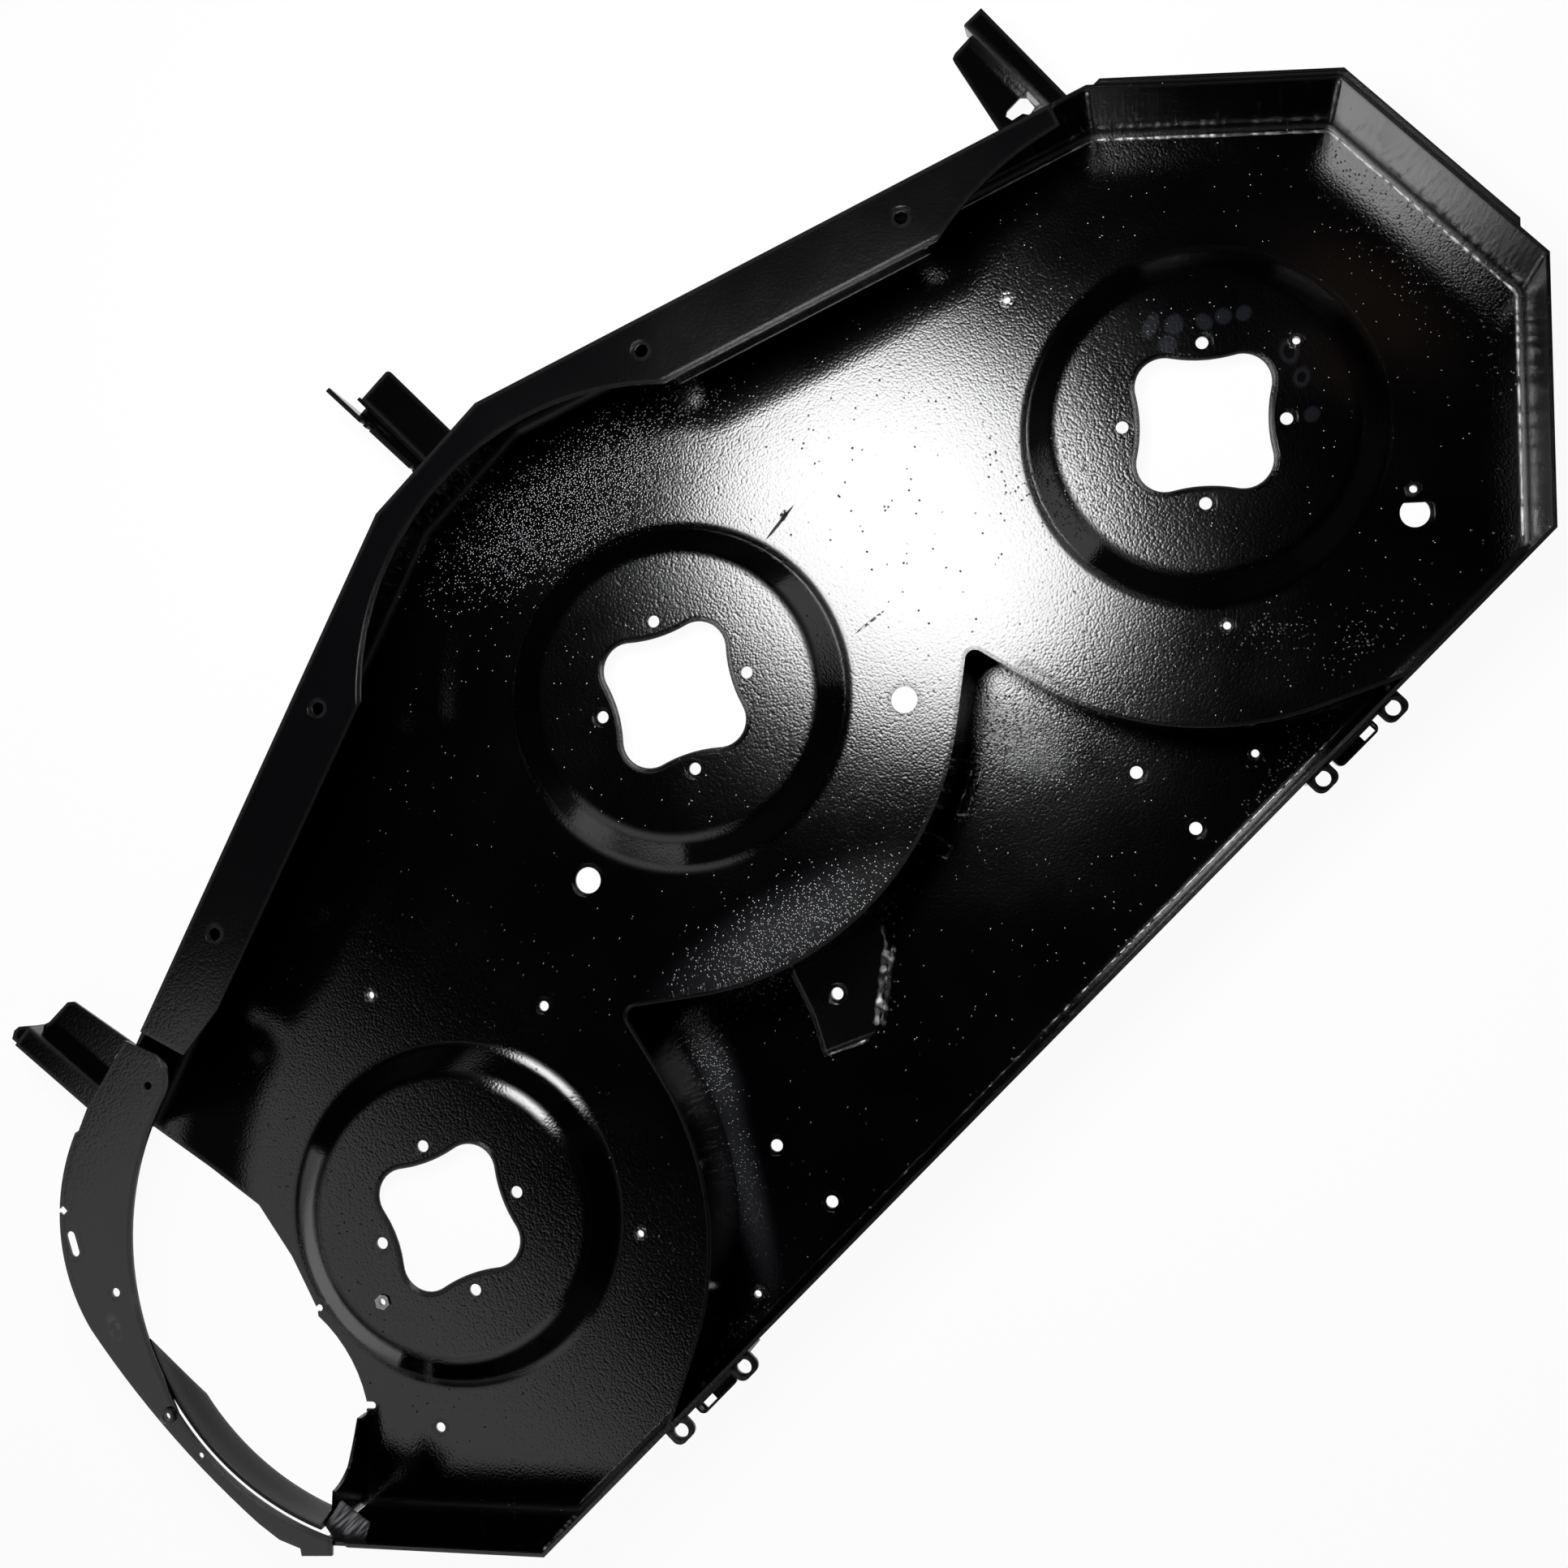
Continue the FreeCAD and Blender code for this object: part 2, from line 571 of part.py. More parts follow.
def patch_plate():
    centre = SPINDLES["centre"][:2]
    plate = prism(PATCH, SHEET, SHEET + PATCH_T)
    plate = plate.cut(drill(centre[0], centre[1], CHAMBER_R + SHEET + 0.5, SHEET - 1, SHEET + PATCH_T + 1))
    return plate.cut(drill(PATCH_HOLE[0], PATCH_HOLE[1], PATCH_HOLE_R, SHEET - 1, SHEET + PATCH_T + 1))


def weld_nuts():
    rings = []
    reach = NUT_FLATS / 2 / math.cos(math.pi / NUT_SIDES)
    for seats, base in ((low_nut_seats(), SHEET), (RAISED_NUT_SEATS, SHEET + BOSS_RISE)):
        for x, y in seats:
            corners = [at_angle((x, y), reach, index * 360.0 / NUT_SIDES) for index in range(NUT_SIDES)]
            body = prism([(p.x, p.y) for p in corners], base, base + NUT_H)
            rings.append(body.cut(drill(x, y, NUT_HOLE_R, base - 1, base + NUT_H + 1)))
    return Part.makeCompound(rings)


def end_strip():
    # Flat bar bent round the front corner of the left end
    slope = Vector(FRONT_CORNER_X - END_X, FRONT_CORNER_Y - END_FRONT_Y, 0).normalize()
    normal = Vector(slope.y, -slope.x, 0)
    corner = Vector(END_X, END_FRONT_Y, 0)
    reach = (STRIP_FRONT_Y - END_FRONT_Y) / slope.y
    far = corner + slope * reach
    half = math.atan2(normal.y, normal.x) / 2
    miter = Vector(math.cos(half), math.sin(half), 0) * (STRIP_T / math.cos(half))
    low = Vector(END_X, STRIP_REAR_Y, 0)
    ring = [
        low,
        low + Vector(STRIP_T, STRIP_T, 0),
        corner + miter,
        far + normal * STRIP_T - slope * STRIP_T,
        far,
        corner,
    ]
    return prism([(p.x, p.y) for p in ring], WALL_H - STRIP_H, WALL_H)


def discharge_rail():
    # Curved rail over the open side, wider at its front end
    start, blend_a, blend_b, end = SIDE_RAIL_ANGLES
    narrow, wide = SIDE_RAIL_R
    ends = [Vector(x, y, 0) for x, y in SIDE_RAIL_END]
    bow = [Vector(x, y, 0) for x, y in SIDE_RAIL_BOW]
    tip = [Vector(x, y, 0) for x, y in SIDE_RAIL_TIP]
    arc_start = at_angle(DISCHARGE_C, narrow, start)
    arc_end = at_angle(DISCHARGE_C, wide, end)
    edges = [arc_through(DISCHARGE_C, narrow, start, blend_a)]
    edges.append(line(at_angle(DISCHARGE_C, narrow, blend_a), at_angle(DISCHARGE_C, wide, blend_b)))
    edges.append(arc_through(DISCHARGE_C, wide, blend_b, end))
    run = [arc_end] + tip[::-1] + [bow[-1]]
    edges += [line(a, b) for a, b in zip(run, run[1:])]
    edges.append(Part.Arc(bow[3], bow[2], bow[1]).toShape())
    edges.append(Part.Arc(bow[1], bow[0], ends[-1]).toShape())
    edges += [line(a, b) for a, b in zip(ends[::-1], ends[::-1][1:])]
    edges.append(Part.Arc(ends[0], Vector(SIDE_RAIL_NOSE[0], SIDE_RAIL_NOSE[1], 0), arc_start).toShape())
    rail = extrude_edges(edges, WALL_H - RAIL_T, WALL_H)
    cutters = [drill(x, y, r, WALL_H - RAIL_T - 1, WALL_H + 1) for x, y, r in RAIL_SIDE_HOLES]
    cutters.append(drill(RIVNUT[0], RIVNUT[1], RIVNUT_HOLE_R, WALL_H - RAIL_T - 1, WALL_H + 1))
    x, y, width = SIDE_SQUARE
    cutters.append(box_between((x - width / 2, y - width / 2, WALL_H - 6), (x + width / 2, y + width / 2, WALL_H + 1)))
    x, y, radius, length, turn = SIDE_SLOT
    slot = box_between((-length / 2, -radius, WALL_H - 6), (length / 2, radius, WALL_H + 1))
    slot = slot.fuse([drill(s * length / 2, 0, radius, WALL_H - 6, WALL_H + 1) for s in (-1, 1)])
    slot.rotate(Vector(0, 0, 0), Vector(0, 0, 1), turn)
    slot.translate(Vector(x, y, 0))
    return rail.cut(cutters + [slot])


def web_taper_cut():
    # Wedge that lets the web grow from nothing to its full depth
    top = WALL_H - RAIL_T
    a = at_angle(DISCHARGE_C, WEB_R, WEB_ANGLES[0] + 0.5)
    b = at_angle(DISCHARGE_C, WEB_R, WEB_TAPER_END)
    along = (b - a).normalize()
    run = (b - a).Length
    reach = [(-30.0, top), (0.0, top), (0.34 * run, top - 17.0), (run, WEB_FOOT_Z), (run, 0.0), (-30.0, 0.0)]
    ring = [Vector(a.x, a.y, z) + along * s for s, z in reach]
    edges = [line(ring[0], ring[1]), Part.Arc(ring[1], ring[2], ring[3]).toShape()]
    edges += [line(p, q) for p, q in zip(ring[3:], ring[4:] + ring[:1])]
    face = Part.Face(Part.Wire(edges))
    normal = Vector(-along.y, along.x, 0)
    face.translate(normal * -40)
    return face.extrude(normal * 80)


def discharge_web():
    radii = (WEB_R, WEB_R + SHEET)
    edges = [arc_through(DISCHARGE_C, r, *WEB_ANGLES) for r in radii]
    for angle in WEB_ANGLES:
        edges.append(line(at_angle(DISCHARGE_C, radii[0], angle), at_angle(DISCHARGE_C, radii[1], angle)))
    web = extrude_edges(Part.sortEdges(edges)[0], WEB_FOOT_Z, WALL_H - RAIL_T)
    return web.cut(web_taper_cut())


def corner_tab():
    # Small plate that ties the end of the web to the rear right wall
    web_end = [at_angle(DISCHARGE_C, WEB_R + t, WEB_ANGLES[1]) for t in (0, SHEET)]
    ring = CORNER_TAB[:1] + [(p.x, p.y) for p in web_end] + CORNER_TAB[1:]
    tab = prism(ring, CORNER_TAB_Z - SHEET, CORNER_TAB_Z)
    return tab.common(prism(inner_outline(SHEET), 0, WALL_H))


def rivet_nut():
    top = drill(RIVNUT[0], RIVNUT[1], RIVNUT_R, WALL_H, WALL_H + RIVNUT_H)
    top = top.makeChamfer(1.2, [e for e in top.Edges if e.BoundBox.ZMin > WALL_H + RIVNUT_H - 0.01])
    return top.cut(drill(RIVNUT[0], RIVNUT[1], RIVNUT_HOLE_R, WALL_H - 1, WALL_H + RIVNUT_H + 1))


def beyond_wall(x0, x1, wall_y):
    # Space outside a slanted front wall, used to trim what is welded to it
    far_y = NOSE_Y + ARM_ROOT
    return prism([(x0, wall_y(x0)), (x1, wall_y(x1)), (x1, far_y), (x0, far_y)], -10, WALL_H + 20)


def arm_angle(x, tip, lean, leaf_w, side):
    # High leaf and the web that steps down from its inner edge
    leaf = box_between((0, tip - ARM_ROOT, ARM_HIGH_Z - ARM_T), (leaf_w, tip, ARM_HIGH_Z))
    web = box_between((0, tip - ARM_ROOT, ARM_LOW_Z), (ARM_T, tip, ARM_HIGH_Z))
    solid = leaf.fuse(web).removeSplitter()
    ridge = []
    for edge in solid.Edges:
        box = edge.BoundBox
        if box.YLength > 100 and box.XMax < 0.1 and box.ZMin > ARM_HIGH_Z - 0.1:
            ridge.append(edge)
    solid = solid.makeFillet(2.5, ridge)
    if side < 0:
        solid = solid.mirror(Vector(0, 0, 0), Vector(1, 0, 0))
    solid.rotate(Vector(0, tip, 0), Vector(0, 0, 1), -lean)
    solid.translate(Vector(x, 0, 0))
    wall_y = front_left_y if side > 0 else front_right_y
    return solid.common(beyond_wall(x - 60, x + 60, wall_y))


def bell_hole(side):
    points = BELL
    if side < 0:
        points = [(2 * BELL_MIRROR_X - x, y + BELL_MIRROR_Y) for x, y in BELL]
    return prism(points, ARM_LOW_Z - ARM_T - 1, ARM_LOW_Z + 1)


def arm_plate(points, side):
    # Tapered plate along the foot of the web, with the hanger hole next to the wall
    plate = prism(points, ARM_LOW_Z - ARM_T, ARM_LOW_Z)
    plate = plate.cut(bell_hole(side))
    mid_x = points[0][0]
    wall_y = front_left_y if side > 0 else front_right_y
    return plate.common(beyond_wall(mid_x - 60, mid_x + 60, wall_y))


def centre_arm_angle():
    low_z = ARM_LOW_Z - ARM_T
    leaf = box_between((ARM_MID_X, NOSE_Y, low_z), (ARM_MID_X + ARM_MID_W, ARM_MID_TIP, ARM_LOW_Z))
    corner = []
    for edge in leaf.Edges:
        box = edge.BoundBox
        if box.ZLength > 1 and box.YMin > ARM_MID_TIP - 1 and box.XMin > ARM_MID_X + 1:
            corner.append(edge)
    leaf = leaf.makeFillet(4.0, corner)
    foot = box_between((ARM_MID_FOOT_X, NOSE_Y, low_z), (ARM_MID_X, ARM_MID_FOOT_TIP, ARM_LOW_Z))
    web = box_between((ARM_MID_X - ARM_T, NOSE_Y, low_z), (ARM_MID_X, ARM_MID_TIP, ARM_MID_WEB_Z))
    return leaf.fuse([foot, web]).removeSplitter()


def centre_arm_plate():
    # Blade on edge beside the angle, tapered to its tip and notched along its top
    root_y = NOSE_Y - 30
    top = ARM_HIGH_Z
    x = BLADE_X - BLADE_T
    ring = [
        Vector(x, root_y, top),
        Vector(x, BLADE_TIP, top),
        Vector(x, BLADE_TIP, top - BLADE_TIP_H),
        Vector(x, ARM_MID_FOOT_TIP, ARM_LOW_Z),
        Vector(x, root_y, ARM_LOW_Z),
    ]
    blade = Part.Face(Part.makePolygon(ring + [ring[0]])).extrude(Vector(BLADE_T, 0, 0))
    for y, width in BLADE_NOTCHES:
        blade = blade.cut(box_between((x - 2, y - width / 2, top - BLADE_NOTCH_DEPTH), (x + BLADE_T + 2, y + width / 2, top + 1)))
    blade.rotate(Vector(x, BLADE_TIP, 0), Vector(0, 0, 1), -BLADE_LEAN)
    return blade.common(box_between((x - 20, NOSE_Y, 0), (x + 20, BLADE_TIP + 5, WALL_H)))


def rear_bracket(mid_x):
    # Back plate on the rear wall with two ears bent out at its top
    half = EAR_SPREAD / 2
    low_x = mid_x - half - EAR_W / 2
    high_x = mid_x + half + EAR_W / 2
    back_z = EAR_TOP_Z - EAR_BACK_H
    bracket = box_between((low_x, REAR_Y - SHEET, back_z), (high_x, REAR_Y, EAR_TOP_Z))
    for side in (-1, 1):
        ear_x = mid_x + side * half
        ear = box_between((ear_x - EAR_W / 2, REAR_Y - EAR_REACH, EAR_TOP_Z - EAR_T), (ear_x + EAR_W / 2, REAR_Y - 1, EAR_TOP_Z))
        corners = []
        for edge in ear.Edges:
            if edge.BoundBox.ZLength > 1 and edge.BoundBox.YMax < REAR_Y - EAR_REACH + 0.1:
                corners.append(edge)
        bracket = bracket.fuse(ear.makeFillet(EAR_CORNER_R, corners))
    for side in (-1, 1):
        ear_x = mid_x + side * half
        bracket = bracket.cut(drill(ear_x, REAR_Y - EAR_HOLE_OUT, EAR_HOLE_R, EAR_TOP_Z - EAR_T - 1, EAR_TOP_Z + 1))
        bite = box_between((ear_x - EAR_HOLE_R, REAR_Y - SHEET - 4, EAR_TOP_Z - 8), (ear_x + EAR_HOLE_R, REAR_Y - SHEET, EAR_TOP_Z - EAR_T))
        bracket = bracket.cut(bite)
    return bracket.removeSplitter()


def rear_loop(mid_x, side):
    # Small open box on the back plate between the ears
    near = REAR_Y - SHEET
    outer = box_between((mid_x - LOOP_W / 2, near - LOOP_REACH, LOOP_Z), (mid_x + LOOP_W / 2, near, LOOP_Z + LOOP_H))
    corners = []
    for edge in outer.Edges:
        if edge.BoundBox.ZLength > 1 and edge.BoundBox.YMax < near - LOOP_REACH + 0.1:
            corners.append(edge)
    outer = outer.makeFillet(5.0, corners)
    inside_low = (mid_x - LOOP_W / 2 + LOOP_T, near - LOOP_REACH + LOOP_T, LOOP_Z + LOOP_T)
    inside = box_between(inside_low, (mid_x + LOOP_W / 2 - LOOP_T, near - LOOP_T, LOOP_Z + LOOP_H + 1))
    edge_x = mid_x + side * (LOOP_W / 2 - LOOP_T - 1.0)
    far_x = edge_x - side * LOOP_WINDOW_W
    window_low = (min(edge_x, far_x), near - LOOP_REACH + LOOP_T, LOOP_Z - 1)
    window = box_between(window_low, (max(edge_x, far_x), near - LOOP_T, LOOP_Z + LOOP_H))
    return outer.cut([inside, window])


def build():
    shapes = {
        "deck_shell": deck_shell(),
        "front_rail": front_rail(),
        "rear_baffle": rear_baffle(),
        "patch_plate": patch_plate(),
        "weld_nuts": weld_nuts(),
        "end_strip": end_strip(),
        "discharge_rail": discharge_rail(),
        "discharge_web": discharge_web().cut(discharge_flange()),
        "corner_tab": corner_tab(),
        "rivet_nut": rivet_nut(),
        "front_angle_left": arm_angle(ARM_LEFT_X, ARM_LEFT_TIP, ARM_LEFT_LEAN, ARM_LEFT_LEAF, 1),
        "front_plate_left": arm_plate(ARM_LEFT_PLATE, 1),
        "front_angle_centre": centre_arm_angle(),
        "front_blade_centre": centre_arm_plate(),
        "front_angle_right": arm_angle(ARM_RIGHT_X, ARM_RIGHT_TIP, ARM_RIGHT_LEAN, ARM_RIGHT_LEAF, -1),
        "front_plate_right": arm_plate(ARM_RIGHT_PLATE, -1),
    }
    for name, (mid_x, side) in REAR_BRACKETS.items():
        shapes["rear_bracket_" + name] = rear_bracket(mid_x)
        shapes["rear_loop_" + name] = rear_loop(mid_x, side)
    return shapes


def centre_on_floor(shapes):
    # The row's origin is the middle of the whole thing, on the floor
    boxes = [shape.BoundBox for shape in shapes.values()]
    mid_x = (min(b.XMin for b in boxes) + max(b.XMax for b in boxes)) / 2
    mid_y = (min(b.YMin for b in boxes) + max(b.YMax for b in boxes)) / 2
    move = Vector(-mid_x, -mid_y, -min(b.ZMin for b in boxes))
    for shape in shapes.values():
        shape.translate(move)
    return move


parts = build()
shift = centre_on_floor(parts)
print("moved by", round(shift.x, 3), round(shift.y, 3), round(shift.z, 3))
for node, shape in parts.items():
    shape.exportStep("parts/" + node + ".step")
    print(node, len(shape.Solids), round(shape.Volume / 1000.0, 1), "cm3", shape.isValid())
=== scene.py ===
"""Looks of a bare mower deck shell that lies upside down, with its black coat, welds and studio."""

from __future__ import annotations

import json
import logging
import math
import random

from dataclasses import dataclass, field
from enum import Enum

import bmesh
import bpy
from mathutils import Matrix, Vector


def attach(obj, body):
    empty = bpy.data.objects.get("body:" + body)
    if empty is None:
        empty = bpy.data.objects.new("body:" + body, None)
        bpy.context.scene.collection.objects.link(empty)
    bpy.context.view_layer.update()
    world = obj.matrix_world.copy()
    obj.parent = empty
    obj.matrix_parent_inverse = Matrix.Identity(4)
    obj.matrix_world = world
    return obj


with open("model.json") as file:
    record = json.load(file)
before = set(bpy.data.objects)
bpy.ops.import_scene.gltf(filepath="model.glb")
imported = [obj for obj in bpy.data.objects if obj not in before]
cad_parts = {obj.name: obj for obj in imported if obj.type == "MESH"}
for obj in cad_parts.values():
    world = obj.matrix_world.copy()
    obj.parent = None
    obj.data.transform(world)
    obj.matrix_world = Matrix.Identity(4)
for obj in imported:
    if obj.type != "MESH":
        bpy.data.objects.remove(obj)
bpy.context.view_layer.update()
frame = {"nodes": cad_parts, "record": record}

log = logging.getLogger("deck")

Point = tuple[float, float]
Colour = tuple[float, float, float]
Spot = tuple[float, float, float]

# The deck's drawing puts its origin between the outer spindles; the shown part is centred instead
DRAWN_SHIFT_MM = (8.35, -141.606)
SHEET_MM = 3.0
WALL_MM = 107.0


def place(x_mm: float, y_mm: float, z_mm: float) -> Vector:
    """Turns a point of the deck's drawing into metres in the shown part.

    Args:
        x_mm: Distance towards the closed end.
        y_mm: Distance towards the front.
        z_mm: Height above the floor.

    Returns:
        The point in metres.
    """
    return Vector((x_mm + DRAWN_SHIFT_MM[0], y_mm + DRAWN_SHIFT_MM[1], z_mm)) / 1000.0


class Slot(Enum):
    """The record's finishes."""

    SHELL = "black_coat"
    RAIL = "rail_coat"
    BAFFLE = "baffle_coat"
    WELD = "weld_coat"
    BRACKET = "bracket_coat"
    TAB = "bright_tab"


@dataclass(frozen=True)
class Grit:
    """A patch of coarse specks in the coat, as weld spatter leaves.

    Attributes:
        at: Middle of the patch in the drawing, in mm.
        reach: Half lengths of the patch along x, y and z, in mm.
        amount: How dense the specks are, 0 to 1.
        turn: Direction of its length, in degrees.
    """

    at: Spot
    reach: Spot
    amount: float
    turn: float = 0.0


@dataclass(frozen=True)
class Mark:
    """A scratch, stain or scuff on the coat.

    Attributes:
        at: Middle of the mark in the drawing, in mm.
        size: Half length, half width and half height, in mm.
        turn: Direction of its length, in degrees.
        colour: What shows through.
        strength: How much of the colour shows, 0 to 1.
        dull: Roughness that it adds.
        breakup: Waves per metre of the gaps in it, or 0 for none.
        fade: Share of its reach at which it starts to fade.
        hollow: Share of its reach that is left clear in its middle.
    """

    at: tuple[float, float, float]
    size: tuple[float, float, float]
    turn: float
    colour: Colour
    strength: float
    dull: float
    breakup: float = 0.0
    fade: float = 0.35
    hollow: float = 0.0


@dataclass(frozen=True)
class Lean:
    """A slight lean of a sheet that is drawn level.

    Attributes:
        at: Middle of the leaning stretch in the drawing, in mm.
        reach: Its half lengths, in mm.
        slope: Its slopes along x and y.
    """

    at: Spot
    reach: Spot
    slope: Point


@dataclass(frozen=True)
class Coat:
    """A black powder coat.

    Attributes:
        slot: The record's finish that it stands for.
        tone: Base colour.
        roughness: Roughness of the flat coat.
        peel_mm: Height of the orange peel.
        peel_scale: Waves of the orange peel per metre.
        grits: Where spatter lies under the coat.
        marks: Scratches and stains.
        sands: Where the coat is sandy with dry powder.
        streaks_mm: Height of the upright streaks on its walls.
        lean: Where a sheet with this coat leans.
        ior: Refractive index of its gloss.
        shade: Where its gloss is lowered as painted shade, darkening a sheet that stands on edge.
    """

    slot: Slot
    tone: Colour
    roughness: float
    peel_mm: float
    peel_scale: float
    grits: tuple[Grit, ...] = ()
    marks: tuple[Mark, ...] = ()
    sands: tuple[Grit, ...] = ()
    streaks_mm: float = 0.0
    lean: Lean | None = None
    ior: float = 1.5
    shade: Grit | None = None


class Tree:
    """Small helper around a shader node tree."""

    def __init__(self, tree: bpy.types.NodeTree) -> None:
        """Keeps the tree that nodes are added to."""
        self.tree = tree

    def add(self, kind: str, **settings: object) -> bpy.types.Node:
        """Adds a node.

        Args:
            kind: The node's Blender type.
            **settings: Attributes set on the node.

        Returns:
            The new node.
        """
        node = self.tree.nodes.new(kind)
        for name, value in settings.items():
            setattr(node, name, value)
        return node

    def link(self, source: bpy.types.NodeSocket, target: bpy.types.NodeSocket) -> None:
        """Joins two sockets."""
        self.tree.links.new(source, target)

    def math(self, operation: str, first: object, second: object = 0.0, clamp: bool = False) -> bpy.types.NodeSocket:
        """Adds a Math node.

        Args:
            operation: Name of the operation.
            first: A socket or a number.
            second: A socket or a number.
            clamp: Whether the result is kept between 0 and 1.

        Returns:
            The result's socket.
        """
        node = self.add("ShaderNodeMath", operation=operation, use_clamp=clamp)
        for index, value in enumerate((first, second)):
            if isinstance(value, bpy.types.NodeSocket):
                self.link(value, node.inputs[index])
            else:
                node.inputs[index].default_value = value
        return node.outputs[0]

    def ramp(self, value: object, low: float, high: float, to_low: float = 0.0, to_high: float = 1.0) -> bpy.types.NodeSocket:
        """Adds a smooth Map Range node.

        Args:
            value: The socket to map.
            low: Where the range starts.
            high: Where the range ends.
            to_low: Result at the start.
            to_high: Result at the end.

        Returns:
            The result's socket.
        """
        node = self.add("ShaderNodeMapRange", interpolation_type="SMOOTHSTEP")
        self.link(value, node.inputs["Value"])
        for name, number in (("From Min", low), ("From Max", high), ("To Min", to_low), ("To Max", to_high)):
            node.inputs[name].default_value = number
        return node.outputs["Result"]


class Effects:
    """Shader node groups that more than one finish uses."""

    @staticmethod
    def start(name: str, inputs: dict[str, float], outputs: tuple[str, ...]) -> tuple[Tree, bpy.types.Node, bpy.types.Node]:
        """Begins a group whose first input is a position.

        Args:
            name: The group's name.
            inputs: Names and defaults of the number inputs.
            outputs: Names of the value outputs.

        Returns:
            The tree helper, the group's input node and its output node.
        """
        group = bpy.data.node_groups.new(name, "ShaderNodeTree")
        group.interface.new_socket(name="Position", in_out="INPUT", socket_type="NodeSocketVector")
        for label, value in inputs.items():
            socket = group.interface.new_socket(name=label, in_out="INPUT", socket_type="NodeSocketFloat")
            socket.default_value = value
        for label in outputs:
            group.interface.new_socket(name=label, in_out="OUTPUT", socket_type="NodeSocketFloat")
        tree = Tree(group)
        return tree, tree.add("NodeGroupInput"), tree.add("NodeGroupOutput")

    @classmethod
    def orange_peel(cls) -> bpy.types.NodeTree:
        """Builds the pebbles and fine grain of a sprayed coat.

        Returns:
            A group with a height output.
        """
        tree, given, result = cls.start("orange_peel", {"Scale": 260.0, "Grain": 0.35}, ("Height",))
        pebbles = tree.add("ShaderNodeTexVoronoi", voronoi_dimensions="3D", feature="F1")
        tree.link(given.outputs["Position"], pebbles.inputs["Vector"])
        tree.link(given.outputs["Scale"], pebbles.inputs["Scale"])
        dish = tree.math("MULTIPLY", pebbles.outputs["Distance"], pebbles.outputs["Distance"])
        fine = tree.add("ShaderNodeTexNoise", noise_dimensions="3D")
        fine.inputs["Detail"].default_value = 2.0
        tree.link(given.outputs["Position"], fine.inputs["Vector"])
        tree.link(tree.math("MULTIPLY", given.outputs["Scale"], 3.7), fine.inputs["Scale"])
        grain = tree.math("MULTIPLY", fine.outputs[0], given.outputs["Grain"])
        tree.link(tree.math("SUBTRACT", grain, dish), result.inputs["Height"])
        return tree.tree

    @classmethod
    def specks(cls) -> bpy.types.NodeTree:
        """Builds scattered round specks whose number follows an amount.

        Returns:
            A group with a height output.
        """
        tree, given, result = cls.start("specks", {"Scale": 300.0, "Amount": 0.2, "Radius": 0.3}, ("Height",))
        cells = tree.add("ShaderNodeTexVoronoi", voronoi_dimensions="3D", feature="F1")
        tree.link(given.outputs["Position"], cells.inputs["Vector"])
        tree.link(given.outputs["Scale"], cells.inputs["Scale"])
        pick = tree.add("ShaderNodeSeparateColor")
        tree.link(cells.outputs["Color"], pick.inputs[0])
        chosen = tree.math("LESS_THAN", pick.outputs[0], given.outputs["Amount"])
        away = tree.math("DIVIDE", cells.outputs["Distance"], given.outputs["Radius"])
        dome = tree.math("SUBTRACT", 1.0, tree.math("MULTIPLY", away, away), clamp=True)
        tree.link(tree.math("MULTIPLY", chosen, tree.math("MULTIPLY", dome, dome)), result.inputs["Height"])
        return tree.tree

    @classmethod
    def patch_mask(cls) -> bpy.types.NodeTree:
        """Builds a soft box-like mask round a point.

        Returns:
            A group with a mask output.
        """
        labels = {"X": 0.0, "Y": 0.0, "Z": 0.0, "Reach X": 0.1, "Reach Y": 0.1, "Reach Z": 0.1, "Fade": 0.35}
        tree, given, result = cls.start("patch_mask", labels, ("Mask",))
        middle = tree.add("ShaderNodeCombineXYZ")
        reach = tree.add("ShaderNodeCombineXYZ")
        for index, axis in enumerate("XYZ"):
            tree.link(given.outputs[axis], middle.inputs[index])
            tree.link(given.outputs["Reach " + axis], reach.inputs[index])
        away = tree.add("ShaderNodeVectorMath", operation="SUBTRACT")
        tree.link(given.outputs["Position"], away.inputs[0])
        tree.link(middle.outputs[0], away.inputs[1])
        scaled = tree.add("ShaderNodeVectorMath", operation="DIVIDE")
        tree.link(away.outputs[0], scaled.inputs[0])
        tree.link(reach.outputs[0], scaled.inputs[1])
        length = tree.add("ShaderNodeVectorMath", operation="LENGTH")
        tree.link(scaled.outputs[0], length.inputs[0])
        faded = tree.add("ShaderNodeMapRange", interpolation_type="SMOOTHSTEP")
        tree.link(length.outputs["Value"], faded.inputs["Value"])
        tree.link(given.outputs["Fade"], faded.inputs["From Min"])
        for label, number in (("From Max", 1.0), ("To Min", 1.0), ("To Max", 0.0)):
            faded.inputs[label].default_value = number
        tree.link(faded.outputs["Result"], result.inputs["Mask"])
        return tree.tree

